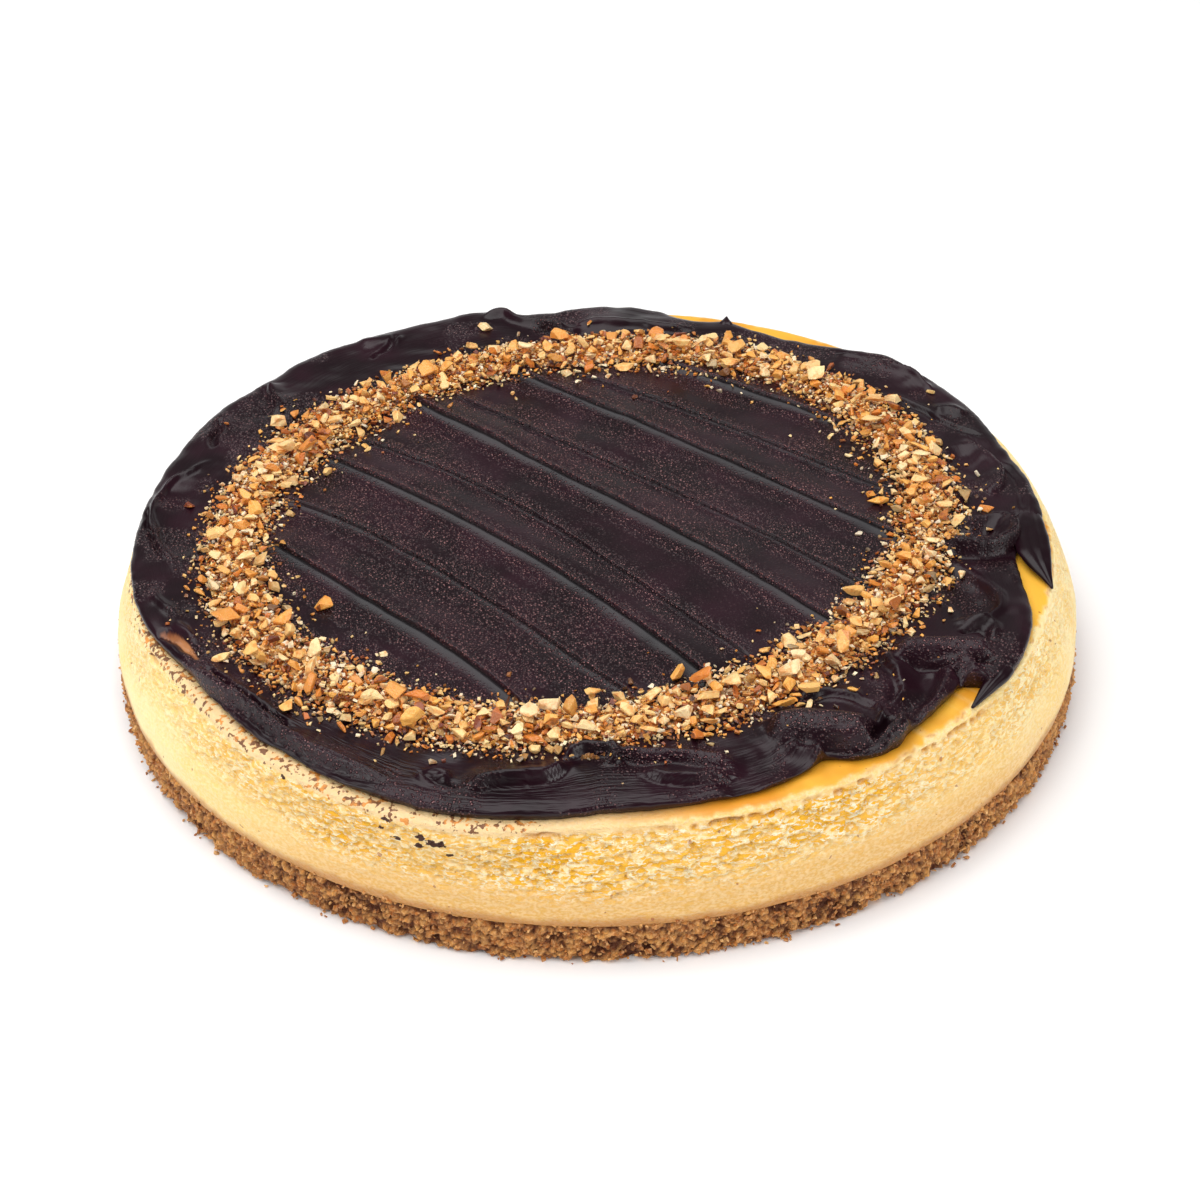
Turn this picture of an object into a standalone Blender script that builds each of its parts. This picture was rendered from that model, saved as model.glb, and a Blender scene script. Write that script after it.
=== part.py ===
"""Round baked cheesecake: a biscuit base, a cheese filling, and a chocolate topping with a ring of nuts."""

import math
import random

import bmesh
import bpy
from mathutils import Matrix, Vector, noise

MM = 0.001
GAP = 0.3 * MM

CAKE_RADIUS = 140 * MM
BASE_HEIGHT = 12.3 * MM
FILLING_HEIGHT = 26.6 * MM
TOPPING_HEIGHT = 4.0 * MM

BASE_SEGMENTS = 144
BASE_CRAG = 1.7 * MM
BASE_CRAG_SIZE = 6.5 * MM

FILLING_SEGMENTS = 96
SHOULDER_RADIUS = 132 * MM
TEAR_DEPTH = 2.2 * MM
TEAR_SIZE = 11 * MM

TOPPING_SEGMENTS = 96
TOPPING_RADIUS = 131 * MM
TOPPING_SHIFT = 3.1 * MM
TOPPING_SHIFT_ANGLE = 229
RIM_BEAD = 0.5 * MM

# Dents in the chocolate's edge: middle angle and half width in degrees, depth in millimetres.
RIM_DENTS = (
    (66, 15, 10.9),
    (94, 10, 3.9),
    (98, 3, 4.7),
    (220, 17, 4.5),
    (285, 21, 6.7),
    (298, 4, 5.1),
    (315, 7, 8.6),
    (328, 30, -2.0),
    (348, 5, 11.4),
)

NUT_BED_HEIGHT = 1.7 * MM
NUT_BED_HALF_WIDTH = 12 * MM
NUT_COUNT = 180
STRAY_COUNT = 22
NUT_LARGEST = 4.1 * MM
NUT_SMALLEST = 2.3 * MM
EDGE_MARGIN = 8 * MM
NUT_SEED = 11

MERGE_DISTANCE = 0.005 * MM
FLAT_ANGLE = 1

RIDGE_HALF_WIDTH = 2.1 * MM
RIDGE_HEIGHT = 1.1 * MM
RIDGE_STATIONS = 14
LOWEST_BAR = 0.5 * MM

# Knife ridges across the chocolate: start, middle and end in millimetres, and relative height.
RIDGES = (
    ((23, 84), (50, 66), (72, 50), 1.0),
    ((3, 76), (42, 45), (83, 13), 0.7),
    ((-18, 77), (36, 31), (85, -14), 1.0),
    ((-37, 63), (17, 16), (71, -32), 0.7),
    ((-54, 62), (10, 4), (63, -53), 1.0),
    ((-70, 41), (-14, -5), (36, -62), 0.7),
    ((-79, 32), (-18, -23), (27, -74), 1.0),
    ((-93, 11), (-40, -31), (6, -82), 0.7),
    ((-91, -13), (-54, -48), (-22, -85), 1.0),
)

# Swirled folds near the edge: start, middle, end, half width and height in millimetres.
FOLDS = (
    ((101, -19), (116, -20), (119, -4), 2.6, 1.8),
    ((102, 76), (119, 44), (122, 8), 2.4, 1.2),
    ((112, -24), (117, -45), (109, -62), 3.0, 1.4),
    ((80, -65), (94, -62), (107, -70), 3.2, 2.0),
    ((92, -73), (88, -88), (78, -99), 2.6, 1.8),
    ((48, -99), (62, -96), (76, -98), 3.2, 2.0),
    ((4, -110), (26, -121), (52, -105), 2.8, 1.6),
    ((-40, -121), (-24, -119), (-8, -113), 2.6, 1.6),
    ((-122, 28), (-128, 8), (-120, -20), 2.2, 1.2),
    ((-104, 74), (-99, 66), (-95, 52), 2.2, 1.0),
    ((-66, 104), (-40, 113), (-20, 113), 2.4, 1.2),
    ((-98, -84), (-82, -99), (-62, -112), 2.6, 1.4),
)

# Pointed licks drawn out over the edge: root, middle, tip and half width in millimetres.
LICKS = (
    ((122, 6), (127.5, -18), (126, -36), 3.2),
    ((104, -74), (102, -82), (98, -90), 3.0),
    ((44, 102), (42.5, 109), (42, 114), 2.4),
)

SHELL_PROFILE = "shell_profile"


def remove_everything():
    for thing in list(bpy.data.objects):
        bpy.data.objects.remove(thing, do_unlink=True)


def new_collection(name):
    collection = bpy.data.collections.new(name)
    bpy.context.scene.collection.children.link(collection)
    return collection


def material(name, colour, roughness):
    surface = bpy.data.materials.new(name)
    surface.use_nodes = True
    shader = surface.node_tree.nodes["Principled BSDF"]
    shader.inputs["Base Color"].default_value = (*colour, 1)
    shader.inputs["Roughness"].default_value = roughness
    shader.inputs["Metallic"].default_value = 0
    surface.diffuse_color = (*colour, 1)
    return surface


def evaluated_mesh(thing, name):
    """A plain mesh of the object as its modifiers leave it."""
    graph = bpy.context.evaluated_depsgraph_get()
    mesh = bpy.data.meshes.new_from_object(thing.evaluated_get(graph))
    mesh.name = name
    return mesh


def turned_mesh(name, profile, segments):
    """Turn a profile of (radius, height), listed from the top of the axis down to its foot."""
    outline = bpy.data.meshes.new(SHELL_PROFILE)
    shape = bmesh.new()
    corners = [shape.verts.new((radius, 0, height)) for radius, height in profile]
    for upper, lower in zip(corners, corners[1:]):
        shape.edges.new((upper, lower))
    shape.to_mesh(outline)
    shape.free()
    lathe = bpy.data.objects.new(SHELL_PROFILE, outline)
    bpy.context.scene.collection.objects.link(lathe)
    screw = lathe.modifiers.new("Screw", "SCREW")
    screw.steps = segments
    screw.render_steps = segments
    screw.use_merge_vertices = True
    screw.merge_threshold = 0.00001
    mesh = evaluated_mesh(lathe, name)
    bpy.data.objects.remove(lathe, do_unlink=True)
    return mesh


def smooth_step(value, low, high):
    part = min(max((value - low) / (high - low), 0), 1)
    return part * part * (3 - 2 * part)


def bell(gap, half_width):
    return math.exp(-(gap / half_width) ** 2)


def dent(angle, centre, half_width):
    gap = (angle - centre + 180) % 360 - 180
    return math.exp(-(gap / half_width) ** 4)


def topping_edge(angle):
    """Radius of the chocolate's edge at an angle in degrees."""
    radius = TOPPING_RADIUS + TOPPING_SHIFT * math.cos(math.radians(angle - TOPPING_SHIFT_ANGLE))
    return radius - sum(depth * MM * dent(angle, centre, width) for centre, width, depth in RIM_DENTS)


def nut_ring(angle):
    """Radius of the nut ring's middle line at an angle in degrees."""
    turn = math.radians(angle)
    single = -3.2 * math.cos(turn) - 2.7 * math.sin(turn)
    double = 1.9 * math.cos(2 * turn) + 5.2 * math.sin(2 * turn)
    return (97.4 + single + double) * MM


def angle_of(x, y):
    return math.degrees(math.atan2(y, x)) % 360


def topping_surface(x, y):
    """Height of the chocolate above its underside."""
    radius = math.hypot(x, y)
    angle = angle_of(x, y)
    bed = NUT_BED_HEIGHT * bell(radius - nut_ring(angle), NUT_BED_HALF_WIDTH)
    edge = topping_edge(angle)
    bead = RIM_BEAD * bell(radius - (edge - 5 * MM), 3 * MM)
    fall = 1.6 * MM * smooth_step(radius, edge - 3.4 * MM, edge)
    wave = 0.35 * MM * noise.noise(Vector((x, y, 0)) / (22 * MM))
    return TOPPING_HEIGHT + bed + bead - fall + wave


def biscuit_base():
    """Crumb layer with a craggy outer wall and a flat underside."""
    profile = (
        (0, BASE_HEIGHT),
        (CAKE_RADIUS - 2.4 * MM, BASE_HEIGHT),
        (CAKE_RADIUS - 0.6 * MM, 11.2 * MM),
        (CAKE_RADIUS - 0.2 * MM, 9.0 * MM),
        (CAKE_RADIUS, 6.6 * MM),
        (CAKE_RADIUS, 4.2 * MM),
        (CAKE_RADIUS - 0.4 * MM, 1.8 * MM),
        (CAKE_RADIUS - 1.6 * MM, 0),
        (0, 0),
    )
    mesh = turned_mesh("biscuit_base", profile, BASE_SEGMENTS)
    for corner in mesh.vertices:
        place = corner.co
        radius = math.hypot(place.x, place.y)
        if radius < CAKE_RADIUS / 2:
            continue
        coarse = noise.noise(place / BASE_CRAG_SIZE)
        fine = noise.noise(place / (BASE_CRAG_SIZE * 0.45) + Vector((9, 4, 2)))
        push = BASE_CRAG * (coarse + 0.6 * fine) - 0.4 * MM
        stretch = (radius + push) / radius
        corner.co = Vector((place.x * stretch, place.y * stretch, place.z))
    return mesh


def cheese_filling():
    """Cheese layer: upright below, drawn in above, with a torn upper wall and a flat top."""
    wall = (
        (SHOULDER_RADIUS - 1.4 * MM, FILLING_HEIGHT),
        (SHOULDER_RADIUS, 25.2 * MM),
        (SHOULDER_RADIUS + 1.5 * MM, 22.8 * MM),
        (SHOULDER_RADIUS + 2.9 * MM, 20.2 * MM),
        (SHOULDER_RADIUS + 4.3 * MM, 17.4 * MM),
        (SHOULDER_RADIUS + 5.6 * MM, 14.4 * MM),
        (SHOULDER_RADIUS + 7.0 * MM, 10.8 * MM),
        (CAKE_RADIUS - 0.2 * MM, 6.0 * MM),
        (CAKE_RADIUS, 1.2 * MM),
        (CAKE_RADIUS - 0.8 * MM, 0),
    )
    profile = ((0, FILLING_HEIGHT), *wall, (0, 0))
    mesh = turned_mesh("cheese_filling", profile, FILLING_SEGMENTS)
    for corner in mesh.vertices:
        place = corner.co
        radius = math.hypot(place.x, place.y)
        torn = smooth_step(place.z, 9 * MM, 15 * MM) * (1 - smooth_step(place.z, 22.5 * MM, 25 * MM))
        if radius < SHOULDER_RADIUS - 2 * MM or torn == 0:
            continue
        stretched = Vector((place.x, place.y, place.z * 2)) / TEAR_SIZE
        pit = max(noise.noise(stretched) + 0.1, 0)
        stretch = (radius - TEAR_DEPTH * torn * pit) / radius
        corner.co = Vector((place.x * stretch, place.y * stretch, place.z))
    return mesh


def topping_slab():
    """Chocolate layer: a turned disc whose rings follow the nut ring and the dented edge."""
    ring_share = 0.74
    shares = (0.3, 0.52, 0.64, 0.70, 0.78, 0.86, 0.94, 0.98, 1.0)
    underside_share = 0.985
    skirt = 1.4 * MM
    profile = ((0, TOPPING_HEIGHT), *((share, TOPPING_HEIGHT) for share in shares))
    profile = (*profile, (1.0, skirt), (underside_share, 0), (0, 0))
    mesh = turned_mesh("chocolate_topping", profile, TOPPING_SEGMENTS)
    for corner in mesh.vertices:
        place = corner.co
        share = math.hypot(place.x, place.y)
        angle = angle_of(place.x, place.y)
        inner = nut_ring(angle)
        if share <= ring_share:
            radius = inner * share / ring_share
        else:
            radius = inner + (topping_edge(angle) - inner) * (share - ring_share) / (1 - ring_share)
        turn = math.radians(angle)
        x = radius * math.cos(turn)
        y = radius * math.sin(turn)
        on_top = place.z > TOPPING_HEIGHT / 2
        corner.co = Vector((x, y, topping_surface(x, y) if on_top else place.z))
    return mesh


def curve_through(start, middle, end, stations):
    """Points of the quadratic curve that passes its middle point half way."""
    start = Vector(start)
    end = Vector(end)
    control = 2 * Vector(middle) - (start + end) / 2
    points = []
    for step in range(stations):
        part = step / (stations - 1)
        points.append((1 - part) ** 2 * start + 2 * part * (1 - part) * control + part * part * end)
    return [point * MM for point in points]


def bar(name, points, half_width, lift, taper, collection):
    """A rounded bar laid along the chocolate, half sunk, with ends thinned by taper."""
    path = bpy.data.curves.new(name, "CURVE")
    path.dimensions = "3D"
    path.bevel_depth = half_width
    path.bevel_resolution = 0
    path.use_fill_caps = True
    spline = path.splines.new("POLY")
    spline.points.add(len(points) - 1)
    for index, point in enumerate(points):
        share = index / (len(points) - 1)
        thin = taper(share)
        height = topping_surface(point.x, point.y) + lift * thin - half_width * thin
        spline.points[index].co = (point.x, point.y, height, 1)
        spline.points[index].radius = thin
    guide = bpy.data.objects.new(name, path)
    bpy.context.scene.collection.objects.link(guide)
    mesh = evaluated_mesh(guide, name)
    bpy.data.objects.remove(guide, do_unlink=True)
    shape = bmesh.new()
    shape.from_mesh(mesh)
    bmesh.ops.remove_doubles(shape, verts=shape.verts, dist=0.00001)
    bmesh.ops.recalc_face_normals(shape, faces=shape.faces)
    for corner in shape.verts:
        corner.co.z = max(corner.co.z, LOWEST_BAR)
    shape.to_mesh(mesh)
    shape.free()
    solid = bpy.data.objects.new(name, mesh)
    collection.objects.link(solid)


def rounded_ends(share):
    return 0.35 + 0.65 * math.sin(math.pi * share) ** 0.5


def pointed_end(share):
    return 1 - 0.85 * share


def add_ridges(collection):
    for number, (start, middle, end, strength) in enumerate(RIDGES):
        points = curve_through(start, middle, end, RIDGE_STATIONS)
        lift = RIDGE_HEIGHT * strength
        bar(f"ridge_{number}", points, RIDGE_HALF_WIDTH, lift, rounded_ends, collection)


def add_folds(collection):
    for number, (start, middle, end, half_width, height) in enumerate(FOLDS):
        points = curve_through(start, middle, end, 8)
        bar(f"fold_{number}", points, half_width * MM, height * MM, rounded_ends, collection)
    for number, (root, middle, tip, half_width) in enumerate(LICKS):
        points = curve_through(root, middle, tip, 6)
        lick = f"lick_{number}"
        bar(lick, points, half_width * MM, 0.4 * MM, pointed_end, collection)


def nut_piece(name, x, y, size, rng, collection):
    """One chopped nut: a six-sided chip with uneven corners, squashed and turned."""
    shape = bmesh.new()
    bmesh.ops.create_cube(shape, size=1.5)
    for corner in shape.verts:
        corner.co *= rng.uniform(0.72, 1.12)
    stretch = Vector((rng.uniform(0.95, 1.3), rng.uniform(0.7, 1.0), rng.uniform(0.6, 0.85)))
    bmesh.ops.scale(shape, vec=stretch * size, verts=shape.verts)
    tilt = Matrix.Rotation(rng.uniform(-0.7, 0.7), 3, "X")
    spin = Matrix.Rotation(rng.uniform(0, 2 * math.pi), 3, "Z")
    bmesh.ops.rotate(shape, cent=(0, 0, 0), matrix=spin @ tilt, verts=shape.verts)
    height = topping_surface(x, y) + 0.1 * size
    bmesh.ops.translate(shape, vec=(x, y, height), verts=shape.verts)
    mesh = bpy.data.meshes.new(name)
    shape.to_mesh(mesh)
    shape.free()
    collection.objects.link(bpy.data.objects.new(name, mesh))


def add_nuts(collection):
    """Largest pieces first, spread over the ring, then a few strays beside it."""
    rng = random.Random(NUT_SEED)
    placed = []
    total = NUT_COUNT + STRAY_COUNT
    attempt = 0
    while len(placed) < total and attempt < 60 * total:
        attempt += 1
        stray = len(placed) >= NUT_COUNT
        share = min(len(placed) / NUT_COUNT, 1)
        size = NUT_LARGEST + (NUT_SMALLEST - NUT_LARGEST) * share ** 0.7
        angle = rng.uniform(0, 360)
        spread = rng.choice((-17, -15, 15, 18)) if stray else rng.gauss(0, 5.6)
        if not stray and abs(spread) > 11.5:
            continue
        radius = nut_ring(angle) + spread * MM
        if radius > topping_edge(angle) - EDGE_MARGIN:
            continue
        x = radius * math.cos(math.radians(angle))
        y = radius * math.sin(math.radians(angle))
        if any(math.hypot(x - other[0], y - other[1]) < 0.82 * (size + other[2]) for other in placed):
            continue
        nut_piece(f"nut_{len(placed)}", x, y, size, rng, collection)
        placed.append((x, y, size))


def merge_flat_faces(mesh):
    """Merge near-flat neighbours left by the union, then cut every face into triangles."""
    shape = bmesh.new()
    shape.from_mesh(mesh)
    bmesh.ops.remove_doubles(shape, verts=shape.verts, dist=MERGE_DISTANCE)
    limit = math.radians(FLAT_ANGLE)
    bmesh.ops.dissolve_limit(shape, angle_limit=limit, verts=shape.verts, edges=shape.edges)
    bmesh.ops.triangulate(shape, faces=shape.faces)
    shape.to_mesh(mesh)
    shape.free()


def connected_groups(shape):
    """Lists of vertices that hang together."""
    waiting = set(shape.verts)
    groups = []
    while waiting:
        group = []
        front = [waiting.pop()]
        while front:
            corner = front.pop()
            group.append(corner)
            for edge in corner.link_edges:
                neighbour = edge.other_vert(corner)
                if neighbour in waiting:
                    waiting.remove(neighbour)
                    front.append(neighbour)
        groups.append(group)
    return groups


def keep_outer_skin(mesh):
    """Keep the largest skin, which fills sealed hollows and drops loose scraps."""
    shape = bmesh.new()
    shape.from_mesh(mesh)
    groups = sorted(connected_groups(shape), key=len)
    for group in groups[:-1]:
        bmesh.ops.delete(shape, geom=group, context="VERTS")
    shape.to_mesh(mesh)
    shape.free()


def chocolate_topping():
    """The slab with its ridges, folds and nuts joined into one body."""
    slab = bpy.data.objects.new("slab", topping_slab())
    bpy.context.scene.collection.objects.link(slab)
    pieces = new_collection("pieces")
    add_ridges(pieces)
    add_folds(pieces)
    add_nuts(pieces)
    union = slab.modifiers.new("Union", "BOOLEAN")
    union.operation = "UNION"
    union.operand_type = "COLLECTION"
    union.collection = pieces
    union.solver = "MANIFOLD"
    mesh = evaluated_mesh(slab, "chocolate_topping")
    for piece in list(pieces.objects):
        bpy.data.objects.remove(piece, do_unlink=True)
    bpy.data.collections.remove(pieces)
    bpy.data.objects.remove(slab, do_unlink=True)
    merge_flat_faces(mesh)
    keep_outer_skin(mesh)
    return mesh


def place_node(name, mesh, surface, height, holder, collection):
    mesh.materials.clear()
    mesh.materials.append(surface)
    mesh.shade_smooth()
    mesh.set_sharp_from_angle(angle=math.radians(38))
    node = bpy.data.objects.new(name, mesh)
    collection.objects.link(node)
    node.parent = holder
    node.location = (0, 0, height)


def main():
    remove_everything()
    cake = new_collection("cheesecake")
    holder = bpy.data.objects.new("cheesecake", None)
    cake.objects.link(holder)
    biscuit = material("biscuit", (0.45, 0.22, 0.09), 0.85)
    cheese = material("cheese", (0.80, 0.56, 0.22), 0.6)
    chocolate = material("chocolate", (0.045, 0.03, 0.035), 0.4)
    filling_foot = BASE_HEIGHT + GAP
    topping_foot = filling_foot + FILLING_HEIGHT + GAP
    place_node("biscuit_base", biscuit_base(), biscuit, 0, holder, cake)
    place_node("cheese_filling", cheese_filling(), cheese, filling_foot, holder, cake)
    place_node("chocolate_topping", chocolate_topping(), chocolate, topping_foot, holder, cake)


main()
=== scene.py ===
import math
from itertools import product

import bmesh
import bpy
import numpy as np
from mathutils import Matrix, Vector


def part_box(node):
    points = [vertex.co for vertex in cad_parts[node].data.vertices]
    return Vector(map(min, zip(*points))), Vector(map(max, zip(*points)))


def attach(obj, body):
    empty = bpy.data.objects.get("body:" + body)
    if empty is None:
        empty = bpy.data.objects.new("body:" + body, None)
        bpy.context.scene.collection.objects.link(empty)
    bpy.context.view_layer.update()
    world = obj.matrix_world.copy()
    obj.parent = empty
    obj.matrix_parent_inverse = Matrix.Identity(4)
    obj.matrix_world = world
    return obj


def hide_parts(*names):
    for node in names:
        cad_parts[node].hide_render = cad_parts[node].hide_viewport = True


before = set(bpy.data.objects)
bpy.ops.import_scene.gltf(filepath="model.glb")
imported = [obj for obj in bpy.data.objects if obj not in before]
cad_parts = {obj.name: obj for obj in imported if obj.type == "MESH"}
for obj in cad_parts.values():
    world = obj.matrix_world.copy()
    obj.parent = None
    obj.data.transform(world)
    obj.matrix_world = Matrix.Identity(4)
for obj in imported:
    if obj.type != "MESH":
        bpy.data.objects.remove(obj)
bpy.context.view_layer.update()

# The cake's sizes are millimetres, and writeCoords turns them into metres. Camera and lights are in metres.
mm = 0.001
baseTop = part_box("biscuit_base")[1][2] / mm
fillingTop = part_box("cheese_filling")[1][2] / mm
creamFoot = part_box("chocolate_topping")[0][2] / mm
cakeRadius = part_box("cheese_filling")[1][0] / mm
print("frame read, cake radius", round(cakeRadius, 1), "mm")


# numbers for whole arrays at once

def fade(value, low, high):
    part = np.clip((value - low) / (high - low), 0, 1)
    return part * part * (3 - 2 * part)


def between(value, low, full, end, high):  # rises from low to full and falls from end to high
    return fade(value, low, full) * (1 - fade(value, end, high))


def hump(value, width):
    return np.exp(-(value / width) ** 2)


def scatter(cell, seed):
    number = (cell[..., 0] * 73856093) ^ (cell[..., 1] * 19349663) ^ (cell[..., 2] * 83492791)
    number = number ^ (seed * 97531 + 1013)
    number = (number ^ (number >> 13)) * 1274126177
    number = (number ^ (number >> 16)) * 668265263
    return ((number ^ (number >> 15)) & 0xFFFF) / 65535.0


def softNoise(points, size, seed=0):  # -1 to 1, smooth over the given size
    spot = points / size + seed * 7.31
    cell = np.floor(spot).astype(np.int64)
    part = spot - cell
    part = part * part * (3 - 2 * part)
    total = 0
    for corner in product((0, 1), repeat=3):
        weight = 1
        for axis in range(3):
            weight = weight * (part[:, axis] if corner[axis] else 1 - part[:, axis])
        total = total + weight * scatter(cell + np.array(corner), seed)
    return total * 2 - 1


def grains(points, size, seed=0):  # distance to the nearest grain, and that grain's own number
    spot = points / size
    cell = np.floor(spot).astype(np.int64)
    nearest = np.full(len(points), 9.0)
    own = np.zeros(len(points))
    for shift in product((-1, 0, 1), repeat=3):
        other = cell + np.array(shift)
        centre = other + np.stack([scatter(other, seed + k) for k in (1, 2, 3)], axis=1)
        gap = np.linalg.norm(centre - spot, axis=1)
        own = np.where(gap < nearest, scatter(other, seed + 4), own)
        nearest = np.minimum(nearest, gap)
    return nearest, own


def flatPoints(xy):
    return np.column_stack([xy, np.zeros(len(xy))])


def smoothPath(points, steps=10):  # a curve through given points
    knots = np.array(points, float)
    padded = np.vstack([2 * knots[0] - knots[1], knots, 2 * knots[-1] - knots[-2]])
    line = []
    for k in range(len(knots) - 1):
        before, start, end, after = padded[k:k + 4]
        for t in np.linspace(0, 1, steps, endpoint=False):
            bend = 2 * before - 5 * start + 4 * end - after
            twist = 3 * start - before - 3 * end + after
            line.append(0.5 * (2 * start + (end - before) * t + bend * t * t + twist * t ** 3))
    line.append(knots[-1])
    return np.array(line)


def alongPath(xy, line):  # signed distance (left of travel is positive) and share of the length
    best = np.full(len(xy), 1e9)
    side = np.zeros(len(xy))
    share = np.zeros(len(xy))
    steps = np.linalg.norm(np.diff(line, axis=0), axis=1)
    before = np.concatenate([[0], np.cumsum(steps)])
    for start, end, length, done in zip(line, line[1:], steps, before):
        away = (end - start) / length
        offset = xy - start
        reach = np.clip(offset @ away, 0, length)
        gap = offset - reach[:, None] * away
        distance = np.hypot(gap[:, 0], gap[:, 1])
        nearer = distance < best
        best = np.where(nearer, distance, best)
        side = np.where(nearer, np.sign(away[0] * offset[:, 1] - away[1] * offset[:, 0]), side)
        share = np.where(nearer, (done + reach) / before[-1], share)
    return best * np.where(side == 0, 1, side), share


def angleOf(spots):
    return np.degrees(np.arctan2(spots[:, 1], spots[:, 0])) % 360


def angleGap(angle, centre):
    return (angle - centre + 180) % 360 - 180


def nearAngle(angle, centre, width, power=4):
    return np.exp(-(angleGap(angle, centre) / width) ** power)


def onRing(angle, radius, height=0):  # places round the axis
    turn = np.radians(angle)
    return np.column_stack([radius * np.cos(turn), radius * np.sin(turn), height + 0 * turn])


def ringNoise(angle, size, seed=0):  # smooth noise round the cake
    return softNoise(onRing(angle, 135), size, seed)


# meshes

def readCoords(mesh):
    coords = np.empty(len(mesh.vertices) * 3, np.float32)
    mesh.vertices.foreach_get("co", coords)
    return coords.reshape(-1, 3).astype(float)


def writeCoords(mesh, coords):
    mesh.vertices.foreach_set("co", (coords * mm).astype(np.float32).ravel())
    mesh.update()


def addNumbers(mesh, **layers):
    for name, values in layers.items():
        layer = mesh.attributes.new(name, "FLOAT", "POINT")
        layer.data.foreach_set("value", np.asarray(values, np.float32))


def meshFrom(shape, name):
    mesh = bpy.data.meshes.new(name)
    shape.to_mesh(mesh)
    shape.free()
    return mesh


def cornersOf(shape):
    return np.array([corner.co for corner in shape.verts])


def closeRing(shape, edges, height):  # draws a ring of edges in to one point
    grown = bmesh.ops.extrude_edge_only(shape, edges=edges)["geom"]
    tips = [item for item in grown if isinstance(item, bmesh.types.BMVert)]
    bmesh.ops.pointmerge(shape, verts=tips, merge_co=(0, 0, height))


def turnedOutwards(mesh):
    shape = bmesh.new()
    shape.from_mesh(mesh)
    bmesh.ops.recalc_face_normals(shape, faces=shape.faces)
    shape.to_mesh(mesh)
    shape.free()
    return mesh


def finishPiece(name, mesh, material, smooth=True, replaced=()):
    mesh.materials.clear()
    mesh.materials.append(material)
    if smooth:
        mesh.shade_smooth()
    else:
        mesh.shade_flat()
    piece = bpy.data.objects.new(name, mesh)
    bpy.context.scene.collection.objects.link(piece)
    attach(piece, "root")
    if replaced:
        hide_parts(*replaced)
    print(name, "made,", len(mesh.polygons), "faces")
    return piece


def wrappedRows(rows, segments):  # a grid wrapped round the axis; row n is a ring of radius 1 + n
    shape = bmesh.new()
    bmesh.ops.create_grid(shape, x_segments=segments, y_segments=rows - 1, size=1)
    coords = cornersOf(shape)
    turn = (coords[:, 0] + 1) * math.pi
    ring = 1 + np.rint((coords[:, 1] + 1) / 2 * (rows - 1))
    seam = []
    for corner, x, y, end in zip(shape.verts, ring * np.cos(turn), ring * np.sin(turn), coords[:, 0]):
        corner.co = (x, y, 0)
        if abs(end) > 0.9999:
            seam.append(corner)
    bmesh.ops.remove_doubles(shape, verts=seam, dist=0.001)
    shape.verts.index_update()
    return shape


def rowsOf(coords):  # row and angle of every corner of a wrapped grid
    return np.rint(np.hypot(coords[:, 0], coords[:, 1]) - 1).astype(int), angleOf(coords)


# materials

def linear(red, green, blue):
    return tuple(((part / 255 + 0.055) / 1.055) ** 2.4 if part > 10 else part / 255 / 12.92
                 for part in (red, green, blue)) + (1,)


def feed(tree, socket, value):  # links an output, or sets a constant
    if isinstance(value, bpy.types.NodeSocket):
        tree.links.new(value, socket)
    else:
        socket.default_value = value


def addNode(tree, kind, settings=None, **sockets):
    node = tree.nodes.new(kind)
    for key, value in (settings or {}).items():
        setattr(node, key, value)
    for key, value in sockets.items():
        feed(tree, node.inputs[key.replace("_", " ")], value)
    return node


def mathNode(tree, operation, first, second=0.5, clamp=False):
    node = addNode(tree, "ShaderNodeMath", {"operation": operation, "use_clamp": clamp})
    feed(tree, node.inputs[0], first)
    feed(tree, node.inputs[1], second)
    return node.outputs[0]


def times(tree, first, second, clamp=False):
    return mathNode(tree, "MULTIPLY", first, second, clamp)


def mixColours(tree, share, first, second):  # colours are outputs, or red, green and blue up to 255
    node = addNode(tree, "ShaderNodeMix", {"data_type": "RGBA"})
    for index, value in ((0, share), (6, first), (7, second)):
        feed(tree, node.inputs[index], linear(*value) if isinstance(value, tuple) else value)
    return node.outputs[2]


def layered(tree, colour, layers):  # colours laid over one another by their shares
    for share, top in layers:
        colour = mixColours(tree, share, colour, top)
    return colour


def stretched(tree, value, low, high):  # 0 at low, 1 at high
    return addNode(tree, "ShaderNodeMapRange", {"interpolation_type": "SMOOTHSTEP"}, Value=value,
                   From_Min=low, From_Max=high).outputs["Result"]


def numberOf(tree, name):
    return addNode(tree, "ShaderNodeAttribute", {"attribute_name": name}).outputs["Fac"]


def newGroup(name, inputs, outputs):  # a node group, what it is given, what it makes and object coordinates
    group = bpy.data.node_groups.new(name, "ShaderNodeTree")
    for way, names in (("INPUT", inputs), ("OUTPUT", outputs)):
        for socket in names:
            group.interface.new_socket(socket, in_out=way, socket_type="NodeSocketFloat")
    given = group.nodes.new("NodeGroupInput").outputs
    made = group.nodes.new("NodeGroupOutput").inputs
    return group, given, made, group.nodes.new("ShaderNodeTexCoord").outputs["Object"]


def mottleGroup():  # soft patches, from 0 to 1
    group, given, made, place = newGroup("mottle", ("Scale", "Detail", "Low", "High", "Squash"), ("Mask",))
    form = addNode(group, "ShaderNodeCombineXYZ", X=1.0, Y=1.0, Z=given["Squash"])
    flat = addNode(group, "ShaderNodeVectorMath", {"operation": "MULTIPLY"})
    feed(group, flat.inputs[0], place)
    feed(group, flat.inputs[1], form.outputs["Vector"])
    noise = addNode(group, "ShaderNodeTexNoise", Vector=flat.outputs["Vector"],
                    Scale=given["Scale"], Detail=given["Detail"])
    feed(group, made["Mask"], stretched(group, noise.outputs["Fac"], given["Low"], given["High"]))
    return group


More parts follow.
